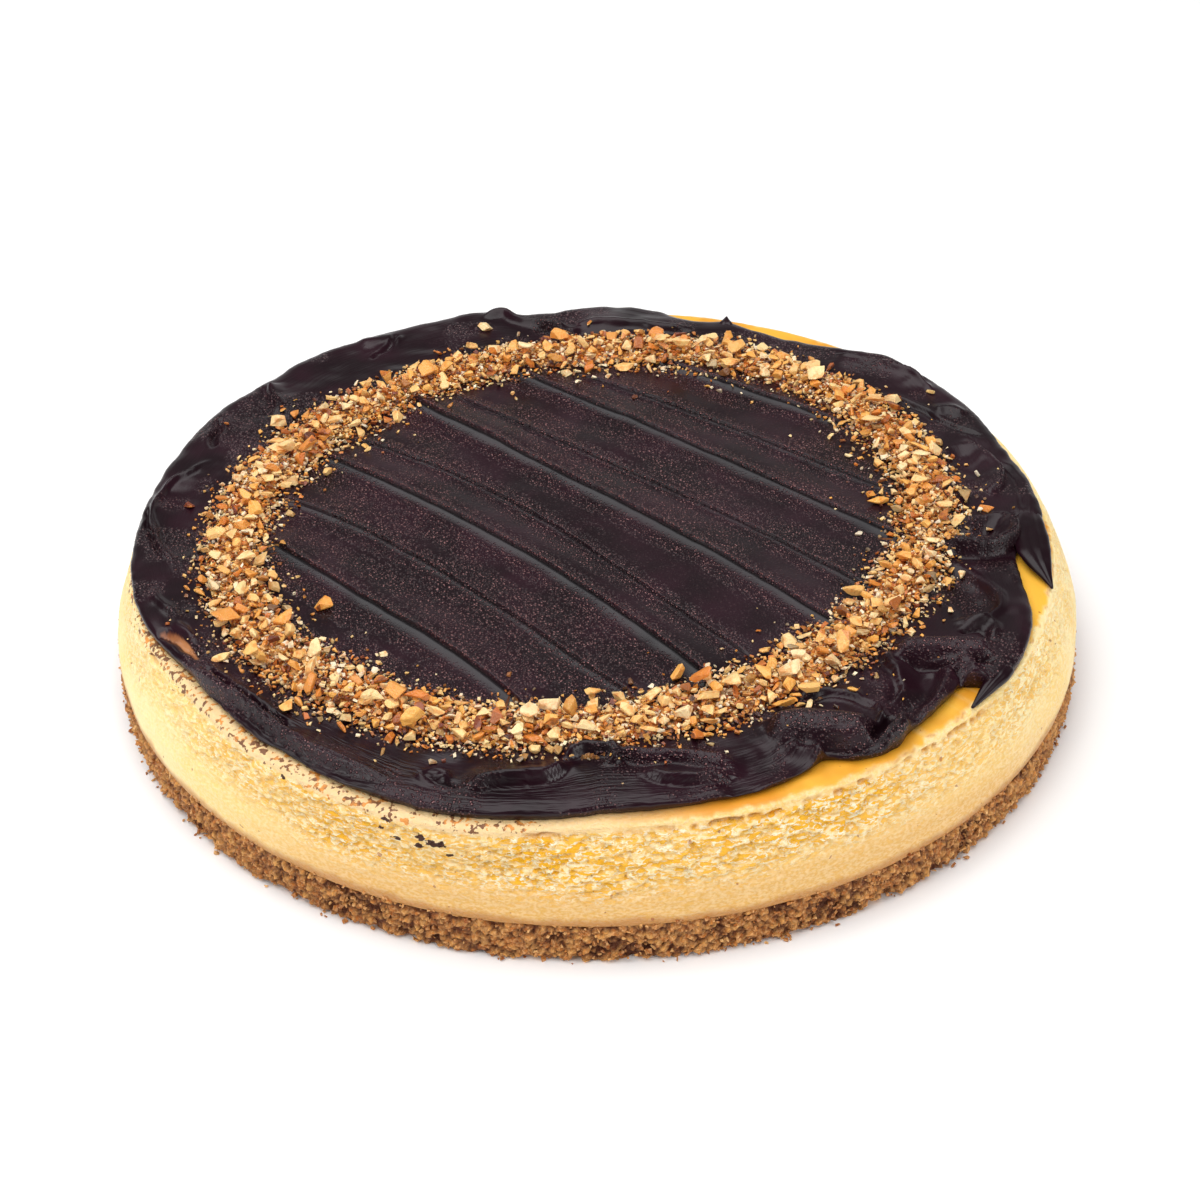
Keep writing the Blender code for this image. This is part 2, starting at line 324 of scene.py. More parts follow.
def bubblesGroup():  # raised bubbles and the painted glints on them, from 0 to 1
    group, given, made, place = newGroup("bubbles", ("Scale",), ("Domes", "Dots"))
    cells = addNode(group, "ShaderNodeTexVoronoi", {"feature": "F1"}, Vector=place, Scale=given["Scale"])
    split = addNode(group, "ShaderNodeSeparateColor", Color=cells.outputs["Color"])
    chosen = stretched(group, split.outputs[0], 0.05, 0.6)
    for name, edge, middle in (("Domes", 0.5, 0.1), ("Dots", 0.3, 0.12)):
        form = stretched(group, cells.outputs["Distance"], edge, middle)
        feed(group, made[name], times(group, form, chosen))
    return group


mottle = mottleGroup()
bubbles = bubblesGroup()


def mottleMask(tree, scale, low, high, detail=3, squash=1):
    return addNode(tree, "ShaderNodeGroup", {"node_tree": mottle}, Scale=scale, Detail=detail, Low=low,
                   High=high, Squash=squash).outputs["Mask"]


def bubbleMasks(tree, scale):
    node = addNode(tree, "ShaderNodeGroup", {"node_tree": bubbles}, Scale=scale)
    return node.outputs["Domes"], node.outputs["Dots"]


def newMaterial(name, roughness, **constants):
    material = bpy.data.materials.new(name)
    material.use_nodes = True
    tree = material.node_tree
    shader = tree.nodes["Principled BSDF"]
    shader.inputs["Roughness"].default_value = roughness
    for key, value in constants.items():
        shader.inputs[key.replace("_", " ")].default_value = value
    return material, tree, shader


def bumpInto(tree, shader, height, strength, distance):
    bump = addNode(tree, "ShaderNodeBump", Height=height, Strength=strength, Distance=distance)
    tree.links.new(bump.outputs["Normal"], shader.inputs["Normal"])


# camera, lights and floor

view = {
    "place": (0.00087, -0.60198, 0.44779),
    "lookDown": 35.853,        # degrees below level
    "roll": -0.710,
    "lens": 75,
    "sensor": 36,
    "ceiling": 24.0,           # power of the large lamp overhead
    "back": 2.6,
    "side": (6.8, 8.8),        # left and right
    "air": 0.13,               # strength of the even light all round
    "floorHalf": 3,
}


def addLight(name, power, size, place, target=(0, 0, 0.03)):
    lamp = bpy.data.lights.new(name, "AREA")
    lamp.shape = "RECTANGLE"
    lamp.energy = power
    lamp.size, lamp.size_y = size
    holder = bpy.data.objects.new(name, lamp)
    aim = (Vector(target) - Vector(place)).to_track_quat("-Z", "Y")
    holder.matrix_world = Matrix.Translation(place) @ aim.to_matrix().to_4x4()
    bpy.context.scene.collection.objects.link(holder)


def makeStudio():
    lens = bpy.data.cameras.new("camera")
    lens.lens = view["lens"]
    lens.sensor_width = view["sensor"]
    camera = bpy.data.objects.new("camera", lens)
    tilt = Matrix.Rotation(math.radians(90 - view["lookDown"]), 4, "X")
    roll = Matrix.Rotation(math.radians(view["roll"]), 4, "Z")
    camera.matrix_world = Matrix.Translation(view["place"]) @ tilt @ roll
    bpy.context.scene.collection.objects.link(camera)
    bpy.context.scene.camera = camera
    addLight("ceiling", view["ceiling"], (1.9, 1.5), (-0.2, -0.02, 1.2))
    addLight("back", view["back"], (3.2, 0.5), (0, 1.7, 0.38))
    for name, power, x in zip(("sideLeft", "sideRight"), view["side"], (-1.22, 1.22)):
        addLight(name, power, (0.9, 0.6), (x, -0.75, 0.42))
    world = bpy.data.worlds.new("studio")
    world.use_nodes = True
    sky = world.node_tree.nodes["Background"]
    sky.inputs["Color"].default_value = (1, 1, 1, 1)
    sky.inputs["Strength"].default_value = view["air"]
    bpy.context.scene.world = world
    bpy.context.scene.view_settings.view_transform = "Standard"
    shape = bmesh.new()
    bmesh.ops.create_grid(shape, x_segments=1, y_segments=1, size=view["floorHalf"])
    mesh = meshFrom(shape, "floor")
    floor = bpy.data.objects.new("floor", mesh)
    bpy.context.scene.collection.objects.link(floor)
    mesh.materials.append(newMaterial("floor", 0.8, Base_Color=(0.97, 0.97, 0.97, 1))[0])
    print("camera, lights and floor set")


# the chocolate topping

cream = {
    "level": 43.3,             # plain surface height
    "wave": 0.35,
    "edgeRound": 4.2,          # width of the rounding at the edge
    "edgeFall": 2.0,           # how far the rounding falls
    "seam": 1.6,               # gap that the stitch between field and rim spans
    "columns": 180,            # along the ridges
    "fieldReach": 106,         # half the length of the field's grid
    "rimSegments": 880,
    "gain": 1.5,               # how much the strokes near the rim stand out
    "flatRows": 54,
    "roundRows": 12,
    "ridgeTurn": -44,          # direction of the ridges in plan, degrees
    "streak": ((-119.4, -54), (-116.4, -55), (-112.2, -59), (-107, -66.6)),
}

# Edge of the chocolate, seen from above: angle and radius.
edgeLine = (
    (0, 129.6), (8, 129.4), (12, 128.3), (18, 128.4), (24, 129.4), (36, 130.2), (44, 130.8), (49, 125.6),
    (54, 121.2), (59, 119.6), (64, 119.4), (67, 121), (69, 122.4), (71, 121), (74, 119.4), (77, 120),
    (79, 122.4), (82, 124.6), (88, 125.4), (93, 124.2), (97, 122.4), (101, 122.4), (104, 125.6),
    (108, 128.4), (120, 128.4), (131, 130.2), (137, 131), (141, 130), (151, 132.2), (165, 131.8),
    (171, 132.2), (181, 132.8), (190, 133.8), (196, 133.8), (201, 133.2), (206, 131.6), (212, 129.8),
    (220, 130), (227, 131.6), (232, 131), (238, 132.8), (250, 134.2), (257, 133.1), (261, 132.0),
    (266, 130.2), (272, 128.4), (282, 127.8), (289, 127.5), (293, 126.2), (296, 124.6), (297.7, 122.8),
    (299.5, 124.6), (301, 127.6), (304, 129.4), (307, 129.6), (309.5, 127), (315, 126), (321, 124.2),
    (322.5, 130.6), (325, 133), (329, 132.8), (334, 131.4), (338, 128.8), (341.5, 126), (345, 122.8),
    (350.8, 120.4), (353, 122.5), (356.5, 128.4),
)

# Ridges left by the knife: height of the step, width of the sloping band and points.
ridges = (
    (1.25, 4.6, ((-92, -12), (-75, -30), (-50, -53), (-35, -70), (-19, -90))),
    (0.8, 3.2, ((-96, 13), (-70, -4), (-45, -25), (-20, -53), (8, -84))),
    (1.25, 4.4, ((-82, 34), (-50, 9), (-20, -20), (10, -52), (30, -79))),
    (0.65, 2.4, ((-72, 42), (-50, 28), (-20, 4), (10, -32), (38, -65))),
    (1.35, 4.2, ((-57, 65), (-29, 40), (0, 12), (32, -18), (66, -56))),
    (0.7, 2.6, ((-40, 64), (-15, 43), (12, 22), (40, -3), (73, -35))),
    (1.3, 4.4, ((-26, 83), (0, 61), (28, 38), (60, 10), (98, -25))),
    (0.8, 3.0, ((-2, 77), (20, 63), (45, 43), (65, 29), (86, 11))),
    (1.2, 3.8, ((17, 90), (36, 76), (52, 65), (66, 55), (78, 45))),
)

# Strokes near the rim: kind, height, steepness, more settings and points. A fold is high on the left of
# its travel and falls steeply to the right.
strokes = (
    # lower right
    ("roll", 2.6, 3.4, {"porous": 1}, ((79, -68), (86, -67.6), (92, -67.2), (99, -67.6), (107, -68.5))),
    ("crease", 1.6, 0.9, {}, ((79, -71.5), (86, -72.8), (93, -73), (99, -72.5), (106, -72))),
    ("dish", 2.2, 8, {}, ((88, -77), (82, -89))),
    ("bead", 2.0, 1.9, {"porous": 0.3}, ((93.3, -73), (91.4, -82), (87.4, -89), (82.5, -95.5))),
    ("roll", 2.2, 2.4, {}, ((96, -71), (98, -75.2), (99.8, -78.8), (102.4, -81.5))),
    ("crease", 1.4, 0.8, {}, ((94.6, -75), (96, -79), (98, -82.5))),
    ("fold", 0.9, 0.8, {"hollow": 0.7, "back": 5}, ((74.6, -66.5), (78.3, -73.3), (80.1, -80.3),
     (79.1, -86), (76, -90))),
    ("bead", 1.3, 0.9, {}, ((72.8, -90.5), (73.1, -96), (73.8, -99))),
    ("bead", 1.2, 0.8, {}, ((72.5, -97.8), (77.3, -96.7), (82, -96.3))),
    ("roll", 3.6, 5.0, {"porous": 1}, ((43, -102), (50, -99.6), (57, -100), (64, -101.4), (71.5, -103.5))),
    ("crease", 2.0, 1.2, {}, ((49, -104.5), (56, -107.2), (63, -107.6), (71, -106))),
    ("roll", 2.2, 2.6, {"porous": 0.8}, ((81, -97.4), (77, -101.5), (73.4, -106.5))),
    ("crease", 1.6, 1.0, {}, ((76, -97.8), (72, -101), (69, -105))),
    ("crease", 0.9, 0.8, {}, ((54, -87.5), (61.6, -86.2), (69, -88.7), (73, -92))),
    ("bead", 0.9, 2.2, {}, ((52, -85), (61.6, -84.4), (70, -86.8))),
    ("bead", 1.9, 1.3, {"porous": 0.4}, ((46, -107.6), (51.7, -106), (55.6, -108.3), (55.8, -112),
     (52.6, -116.4), (47, -120), (41, -122.4))),
    ("dish", 1.9, 7, {}, ((48, -111), (36, -118))),
    # front
    ("fold", 1.3, 0.8, {"hollow": 0.7, "back": 5}, ((10, -117), (18.4, -119.7), (27.2, -119.3),
     (36, -116))),
    ("fold", 0.5, 1.0, {"hollow": 0.9, "back": 4, "porous": 1, "flip": True}, ((36, -116), (27.4, -113.6),
     (20.7, -111.3), (10, -110.6), (2, -109))),
    ("bead", 1.1, 1.3, {}, ((2, -108.6), (8, -109.6), (20, -110), (30, -112.4), (37, -115.4))),
    ("fold", 1.5, 1.0, {"hollow": 0.6, "back": 4}, ((-9, -111), (-3, -107.5), (6, -109.5))),
    ("bead", 1.8, 0.9, {}, ((4, -109.5), (4.5, -114))),
    ("bead", 1.2, 0.8, {}, ((1.5, -113), (7, -112))),
    ("fold", 1.9, 1.1, {"hollow": 0.7, "back": 5}, ((-34, -122), (-24, -119.5), (-13, -118.5),
     (-7, -113.5))),
    ("crease", 1.2, 0.9, {}, ((-46, -115), (-40, -119), (-35, -121))),
    ("bead", 1.2, 1.5, {}, ((-46, -118), (-42, -116.5), (-37, -118))),
    # left
    ("fold", 1.3, 1.2, {"hollow": 1.9, "back": 3.5, "porous": 0.7}, ((-110.3, -67.6), (-106.5, -73.2),
     (-101.9, -78.3), (-95, -84), (-86, -94), (-76, -103.5), (-64, -112), (-52, -118))),
    ("crease", 1.4, 1.0, {"porous": 1}, ((-106, -69.5), (-98, -78.5), (-88, -88.5), (-78, -98))),
    ("bead", 0.7, 1.4, {}, ((-124.8, -32.3), (-121, -40.3), (-116.1, -45.9), (-114.5, -51.3),
     (-108.5, -59))),
    ("crease", 1.0, 1.5, {}, ((-120, -53.5), (-116, -56), (-111, -61), (-106.5, -67))),
    ("bead", 1.0, 0.9, {}, ((-115.8, 31.8), (-120.1, 26.4), (-125, 21.9), (-127.7, 16.6), (-129.3, 7),
     (-128.8, 0), (-124.6, -13.6), (-121.1, -18.6), (-119.9, -24))),
    ("crease", 1.0, 0.8, {}, ((-130.3, 8), (-129.9, 0), (-126.4, -12), (-123, -18))),
    ("dish", 0.9, 9, {}, ((-121, 14), (-118, -10))),
    ("crease", 1.1, 1.2, {}, ((-116, 57), (-114.5, 51), (-116, 46), (-115.5, 39))),
    ("fold", 1.1, 1.1, {"hollow": 0.8, "back": 4}, ((-102, 76), (-100, 68), (-97, 63), (-100, 56))),
    # back
    ("crease", 0.9, 0.9, {}, ((-71, 91), (-66, 99), (-64, 106))),
    ("bead", 0.8, 3, {}, ((-76, 100), (-68, 103), (-62, 101))),
    ("bead", 1.6, 1.6, {}, ((-37, 116.5), (-29.5, 118.8), (-24.1, 113.4), (-16.2, 111.4), (-8, 109.5))),
    ("crease", 1.3, 1.5, {}, ((-20, 108.5), (-8.3, 107), (-2, 108), (10, 107.5))),
    ("fold", 0.9, 1.4, {"hollow": 0.7, "back": 6}, ((-6, 113), (8, 112), (20, 109), (32, 107))),
    ("fold", 1.0, 0.9, {"hollow": 0.8, "back": 5}, ((104, 70), (96, 79), (88, 84), (76, 90))),
    ("bead", 0.8, 1.2, {}, ((106, 66), (99, 76), (90, 82))),
    # right
    ("crease", 0.9, 0.8, {}, ((92, 64), (100, 57), (106, 49), (112, 44), (118, 40))),
    ("bead", 1.0, 2.0, {}, ((104, 55), (109, 56), (113, 52))),
    ("fold", 0.8, 0.9, {"hollow": 0.4, "back": 5, "flip": True, "porous": 0.6}, ((111, 39), (117, 31),
     (120, 23), (119, 14), (115, 9))),
    ("crease", 0.5, 1.0, {}, ((117, 31), (123, 20), (125, 12), (124, 0))),
    ("dish", 1.1, 6, {}, ((110, 30), (112, 16))),
    ("fold", 1.9, 1.6, {"hollow": 1.9, "back": 6, "porous": 0.4}, ((97, -19.5), (107, -19), (114, -18),
     (119, -14), (120, -8), (117, -3))),
    ("bead", 1.1, 1.4, {}, ((102, -6.5), (110, -5), (116, -3.5), (120, -5))),
    ("dish", 1.8, 5, {}, ((104, -12), (114, -11))),
    ("bead", 1.1, 1.3, {}, ((96, -54), (104, -54), (109, -51), (111.5, -45), (110, -39), (105, -31),
     (100, -25))),
    ("dish", 1.9, 8, {}, ((101, -33), (104, -46))),
    ("bead", 1.1, 1.3, {}, ((99, -57), (106, -54.5), (108, -58), (106, -63))),
    ("crease", 1.1, 0.9, {}, ((98, -59.5), (104, -59), (105, -63))),
)

nutRing = 97.4  # mean radius of the ring of nuts


def ringRadius(angle):
    turn = np.radians(angle)
    single = -3.2 * np.cos(turn) - 2.7 * np.sin(turn)
    return nutRing + single + 1.9 * np.cos(2 * turn) + 5.2 * np.sin(2 * turn)


def creamEdge(angle):
    angles = np.array([a for a, r in edgeLine], float)
    radii = np.array([r for a, r in edgeLine], float)
    angles = np.concatenate([angles - 360, angles, angles + 360])
    radii = np.tile(radii, 3)
    plain = np.interp(angle, angles, radii)
    near = [np.interp(angle + shift, angles, radii) for shift in (-0.8, 0.8)]
    crumble = 0.25 * ringNoise(angle, 5, 3) + 0.15 * ringNoise(angle, 2, 4)
    return 0.5 * plain + 0.25 * (near[0] + near[1]) + crumble


turnOfRidges = math.radians(cream["ridgeTurn"])
along = np.array([math.cos(turnOfRidges), math.sin(turnOfRidges)])
across = np.array([-math.sin(turnOfRidges), math.cos(turnOfRidges)])


def prepareRidges():
    lines = []
    for number, (lift, band, points) in enumerate(ridges):
        points = np.array(points, float)
        reach = points @ along
        lines.append({"curve": np.polyfit(reach, points @ across, 3), "start": reach.min(),
                      "end": reach.max(), "number": number, "lift": lift, "band": band})
    return lines


ridgeLines = prepareRidges()


def ridgeOffset(line, reach):  # place of a ridge across its direction, with the knife's small wobble
    inside = np.clip(reach, line["start"] - 12, line["end"] + 12)
    spots = np.column_stack([reach, np.full(len(reach), 31.0 * line["number"]), np.zeros(len(reach))])
    wobble = 0.35 * softNoise(spots, 11, 5) + 0.12 * softNoise(spots, 3, 6)
    return np.polyval(line["curve"], inside) + wobble


def ridgeRelief(xy):  # height, the smooth bands' painted sheen, the thin crest lines' painted highlight and painted shadow, and the grainy patches
    reach = xy @ along
    offset = xy @ across
    relief = np.zeros(len(xy))
    bandMask = np.zeros(len(xy))
    crest = np.zeros(len(xy))
    spots = np.column_stack([reach / 26, offset / 6.5, np.zeros(len(xy))])
    grain = 0.06 + 0.94 * fade(softNoise(spots, 1, 9), -0.15, 0.35)
    for line in ridgeLines:
        gap = offset - ridgeOffset(line, reach)
        start, end = line["start"], line["end"]
        near = between(reach, start - 6, start + 4, end - 4, end + 6)
        spots = np.column_stack([reach, np.full(len(reach), 57.0 * line["number"]), np.zeros(len(reach))])
        lift = line["lift"] * near * (1 + 0.25 * softNoise(spots, 26, 7))
        band = 0.85 * line["band"] * (1 + 0.25 * softNoise(spots, 9, 10))
        step = 0.42 * lift
        slope = 1.5 * (lift - step) * np.clip(1 + (gap + 0.35) / band, 0, 1) ** 1.5
        top = step + 1.5 * (lift - step)
        high = top * (1 - fade(gap, 0.5, 15)) + 0.2 * lift * hump(gap - 0.45, 0.55)
        groove = 0.75 * near * hump(gap + 0.42, 0.26)
        relief += np.where(gap > 0, high, slope + step * fade(gap, -0.45, 0)) - groove
        # the sloping band below each crest, which the material paints with a grey sheen
        inBand = between(gap, -band, -band * 0.35, -0.8, -0.4) * near
        strong = 0.5 + 0.5 * fade(line["lift"], 0.7, 1.2)
        bandMask = np.maximum(bandMask, inBand * strong)
        # painted highlight along each crest and painted shadow in the groove below it
        crest = crest + near * (hump(gap - 0.25, 0.42) - hump(gap + 0.5, 0.38)) * strong
        edgeGrain = 0.8 * hump(gap - 1.4, 1.6) + 0.9 * hump(gap + band + 2.2, 2.6)
        grain = np.maximum(grain, edgeGrain * near)
    return relief, bandMask, crest, np.clip(grain, 0, 1) * (1 - bandMask)


def strokeProfile(kind, height, steep, more, gap):
    if kind == "bead":
        return height * hump(gap, steep)
    if kind == "crease":
        return -height * hump(gap, steep) + 0.22 * height * hump(np.abs(gap) - 1.7 * steep, steep)
    if kind == "dish":
        return -height * np.clip(1 - (gap / steep) ** 2, 0, 1) ** 1.5
    if kind == "roll":
        return height * np.clip(1 - (gap / steep) ** 2, 0, 1) ** 0.6
    hollow = more["hollow"]
    back = hump(gap, more["back"])
    left = height * back + 0.35 * height * hump(gap - 0.2, 0.8)
    right = (1.35 * height + hollow) * np.exp(-np.abs(gap / steep) ** 2.6) - hollow * back
    return np.where(gap > 0, left, right)


def strokeRelief(xy):
    relief = np.zeros(len(xy))
    porous = np.zeros(len(xy))
    shaky = xy + 0.55 * np.column_stack([softNoise(flatPoints(xy), 3.2, seed) for seed in (61, 62)])
    for kind, height, steep, more, points in strokes:
        line = smoothPath(points, 6)
        low = line.min(axis=0) - 14
        high = line.max(axis=0) + 14
        near = np.flatnonzero(np.all((xy > low) & (xy < high), axis=1))
        if not len(near):
            continue
        gap, share = alongPath(shaky[near], line)
        if more.get("flip"):
            gap = -gap
        ends = between(share, -0.02, 0.16, 0.84, 1.02)
        if kind == "dish":
            ends = 1
        relief[near] += cream["gain"] * strokeProfile(kind, height, steep, more, gap) * ends
        if "porous" in more:
            patch = more["porous"] * fade(gap, -1.3 * steep - 1, -0.4)
            patch = patch * (1 - fade(gap, 0.6 * steep, steep))
            porous[near] = np.maximum(porous[near], patch * ends)
    return relief, porous


def creamSurface(xy):
    spots = flatPoints(xy)
    angle = angleOf(xy)
    radius = np.hypot(xy[:, 0], xy[:, 1])
    swell = cream["wave"] * softNoise(spots, 24, 1) + 0.16 * softNoise(spots, 8, 2)
    outside = fade(radius, ringRadius(angle) + 4, ringRadius(angle) + 14)
    hand = 0.35 * softNoise(spots, 5, 8) + 0.3 * softNoise(spots, 11, 60)
    ridge, band, crest, grain = ridgeRelief(xy)
    stroke, porous = strokeRelief(xy)
    patchy = 0.55 * fade(softNoise(spots, 9, 64), 0.0, 0.5)
    inward = creamEdge(angle) - radius
    front = nearAngle(angle, 258, 38) * (1 - fade(inward, 9, 15))
    brushed = outside * (0.05 + 0.36 * front)
    masks = {
        # band: painted sheen, the grey reflection on each ridge's sloping band
        "band": band * (1 - outside),
        # crest mask: painted highlight on each crest, painted shadow in the groove below
        "crest": crest * (1 - outside),
        "grain": np.clip(np.maximum(grain * (1 - outside) + patchy * outside, porous), 0, 1),
        "milk": nearStreak(xy),
        "brush": brushed,
        "inward": inward,
        "eastward": np.cos(np.radians(angle)),
        "northward": np.sin(np.radians(angle)),
    }
    return cream["level"] + swell + hand * outside + ridge * (1 - outside) + stroke, masks


def fieldRows():
    near = [-5.2, -4.4, -3.7, -3.0, -2.4, -1.9, -1.4, -1.0, -0.7, -0.5, -0.36, -0.2, 0, 0.22, 0.5, 0.9,
            1.5, 2.3]
    rows = []
    count = len(ridgeLines)
    for step in np.linspace(-30, near[0] - 1.2, 22):
        rows.append((0, 0, step, 1.0))
    for number in range(count):
        rows += [(number, number, step, 1.0) for step in near]
        if number < count - 1:
            rows += [(number, number + 1, 0, share) for share in np.linspace(0, 1, 10)[1:-1]]
    for step in np.linspace(near[-1] + 1.2, 26, 19):
        rows.append((count - 1, count - 1, step, 1.0))
    return rows, near[0], near[-1]


def makeField():  # a grid whose rows follow the ridges, cut to the inside of the nut ring
    rows, low, high = fieldRows()
    columns = cream["columns"]
    shape = bmesh.new()
    bmesh.ops.create_grid(shape, x_segments=columns, y_segments=len(rows) - 1, size=1)
    coords = cornersOf(shape)
    column = coords[:, 0] * cream["fieldReach"]
    row = np.rint((coords[:, 1] + 1) / 2 * (len(rows) - 1)).astype(int)
    offset = np.zeros(len(coords))
    for index, (first, second, step, share) in enumerate(rows):
        here = row == index
        reach = column[here]
        if first == second:
            offset[here] = ridgeOffset(ridgeLines[first], reach) + step
        else:
            lower = ridgeOffset(ridgeLines[first], reach) + high
            upper = ridgeOffset(ridgeLines[second], reach) + low
            offset[here] = lower + (upper - lower) * share
    xy = column[:, None] * along + offset[:, None] * across
    for corner, (x, y) in zip(shape.verts, xy):
        corner.co = (x, y, 0)
    angle = angleOf(xy)
    beyond = np.hypot(xy[:, 0], xy[:, 1]) > ringRadius(angle)
    bmesh.ops.delete(shape, geom=[corner for corner, out in zip(shape.verts, beyond) if out],
                     context="VERTS")
    return shape


def makeCream():
    shape = makeField()
    segments = cream["rimSegments"]
    flatRows = cream["flatRows"]
    roundRows = cream["roundRows"]
    rim = wrappedRows(flatRows + roundRows + 3, segments)
    row, angle = rowsOf(cornersOf(rim))
    edge = creamEdge(angle)
    inner = ringRadius(angle) + cream["seam"]
    start = edge - cream["edgeRound"]
    radius = inner + (start - inner) * np.minimum(row / (flatRows - 1), 1)
    lean = np.clip((row - flatRows + 1) / roundRows, 0, 1)
    radius = np.where(row >= flatRows, start + (edge - start) * np.sin(lean * math.pi / 2), radius)
    under = row - (flatRows + roundRows - 1)
    for number, pull in ((1, 0.25), (2, 0.9), (3, 7.0)):
        radius = np.where(under == number, edge - pull, radius)
    turn = np.radians(angle)
    level = rim.verts.layers.float.new("rowNumber")
    for corner, x, y, number in zip(rim.verts, radius * np.cos(turn), radius * np.sin(turn), row):
        corner.co = (x, y, 0)
        corner[level] = number
    loose = meshFrom(rim, "rim")
    level = shape.verts.layers.float.new("rowNumber")
    for corner in shape.verts:
        corner[level] = -1
    shape.from_mesh(loose)
    bpy.data.meshes.remove(loose)
    level = shape.verts.layers.float["rowNumber"]
    seam = [edge for edge in shape.edges if edge.is_boundary
            and all(corner[level] < 1 for corner in edge.verts)]
    bmesh.ops.triangle_fill(shape, use_beauty=True, edges=seam)
    foot = [edge for edge in shape.edges if edge.is_boundary]
    closeRing(shape, foot, 0)
    mesh = meshFrom(shape, "chocolateCream")
    number = np.empty(len(mesh.vertices), np.float32)
    mesh.attributes["rowNumber"].data.foreach_get("value", number)
    mesh.attributes.remove(mesh.attributes["rowNumber"])
    return mesh, np.rint(number).astype(int)


def shapeCream():
    mesh, row = makeCream()
    xy = readCoords(mesh)[:, :2]
    angle = angleOf(xy)
    radius = np.hypot(xy[:, 0], xy[:, 1])
    surface, masks = creamSurface(xy)
    edge = creamEdge(angle)
    lean = np.clip((radius - edge + cream["edgeRound"]) / cream["edgeRound"], 0, 1)
    surface = surface - cream["edgeFall"] * (1 - np.sqrt(np.clip(1 - lean ** 2, 0, 1)))
    foot = fillingSurface(edge, angle) + 0.15
    surface = np.maximum(surface, foot + 1.2)
    under = row - (cream["flatRows"] + cream["roundRows"] - 1)
    height = np.where(under == 1, foot + 0.45 * (surface - foot), surface)
    height = np.where(under == 2, foot, height)
    height = np.where(under == 3, creamFoot, height)
    writeCoords(mesh, np.column_stack([xy, height]))
    addNumbers(mesh, **masks)
    return mesh


def nearStreak(xy):  # the cut where paler chocolate shows
    gap, share = alongPath(xy, smoothPath(cream["streak"]))
    width = 0.2 + 0.85 * np.sin(np.clip(share, 0, 1) * math.pi) ** 0.7
    return 1 - fade(np.abs(gap) / width, 0.75, 1.2)


def creamMaterial():
    material, tree, shader = newMaterial("chocolate", 0.3, IOR=1.45, Specular_IOR_Level=0.34)
    names = ("band", "crest", "grain", "brush", "inward", "eastward", "northward", "milk")
    band, crest, grain, brush, inward, eastward, northward, milk = [numberOf(tree, name) for name in names]
    patches = mottleMask(tree, 60, 0.35, 0.7)
    domes, dots = bubbleMasks(tree, 950)
    fineDomes, fineDots = bubbleMasks(tree, 1700)
    way = addNode(tree, "ShaderNodeCombineXYZ", X=times(tree, inward, 1.1), Y=times(tree, eastward, 12.0),
                  Z=times(tree, northward, 12.0))
    lines = addNode(tree, "ShaderNodeTexNoise", Vector=way.outputs["Vector"], Scale=1.0, Detail=2.0)
    lines = times(tree, stretched(tree, lines.outputs["Fac"], 0.3, 0.7), brush)
    # painted glints: pale dots on the bubbles stand in for their highlights
    bright = times(tree, mathNode(tree, "MAXIMUM", dots, times(tree, fineDots, 0.8)), grain)
    # painted shadow: black in the groove under each crest
    black = times(tree, crest, -1.1, clamp=True)
    final = layered(tree, (22, 5, 12), (
        (patches, (38, 13, 24)),
        # painted sheen: grey reflection on the ridges' sloping bands
        (times(tree, band, 0.6), (34, 35, 38)),
        (times(tree, bright, 0.9), (178, 128, 128)),
        # painted highlight: reddish glints along each crest
        (times(tree, crest, fineDomes, clamp=True), (150, 92, 88)),
        (black, (4, 2, 3)),
        (milk, mixColours(tree, patches, (196, 134, 86), (116, 62, 38))),
    ))
    feed(tree, shader.inputs["Base Color"], final)
    rough = mathNode(tree, "SUBTRACT", 0.28, times(tree, band, 0.05))
    rough = mathNode(tree, "ADD", rough, times(tree, black, 0.5))
    rough = mathNode(tree, "ADD", rough, times(tree, eastward, 0.07, clamp=True))
    feed(tree, shader.inputs["Roughness"], rough)
    raised = mathNode(tree, "ADD", domes, times(tree, fineDomes, 0.5))
    height = mathNode(tree, "ADD", times(tree, raised, grain), lines)
    bumpInto(tree, shader, height, 1.0, 0.0005)
    return material


# the cheese filling

filling = {
    "segments": 1480,
    "wallRows": 48,
    "shoulderRows": 6,
    "topRows": 6,
    "innerTop": 108,           # radius where the flat top ends, out of sight
    "innerFoot": 132,          # radius where the underside ends
    "shoulderRise": 1.3,
    "shoulderFall": 1.4,
    "shoulderRound": 2.6,
    "profile": ((12.4, 140.0), (14, 140.3), (20, 139.9), (27, 137.3), (33, 134.6), (37.8, 131.9)),
    "tearDepth": 1.3,
    "ledge": 1.25,             # height of one torn layer
    "dents": ((44, 0), (50, 2), (60, 2), (68, 3), (76, 2.4), (80, 4.4), (88, 5), (93, 6.4), (97, 8),
              (101, 8), (104, 5), (108, 1.5), (114, 0)),
}


def shoulderRadius(angle):  # crease between the filling's flat top and its side
    angles = np.arange(0, 360, 1.0)
    lip = 0.3 + 3.0 * nearAngle(angles, 238, 36)
    places, depths = np.array(filling["dents"]).T
    reach = np.maximum(132.0 - np.interp(angles, places, depths), creamEdge(angles) + lip)
    reach = np.mean([np.roll(reach, shift) for shift in range(-4, 5)], axis=0)
    return np.interp(angle % 360, np.append(angles, 360), np.append(reach, reach[0]))


def fillingSurface(radius, angle):  # height of the filling's flat top and its rounded shoulder
    crease = shoulderRadius(angle)
    return fillingTop - filling["shoulderFall"] * fade(radius, crease - 4.0, crease + 0.3)


def fillingWall(angle, height):
    heights, radii = np.array(filling["profile"]).T
    push = shoulderRadius(angle) - radii[-1]
    return np.interp(height, heights, radii) + push * fade(height, 26, 37.8)


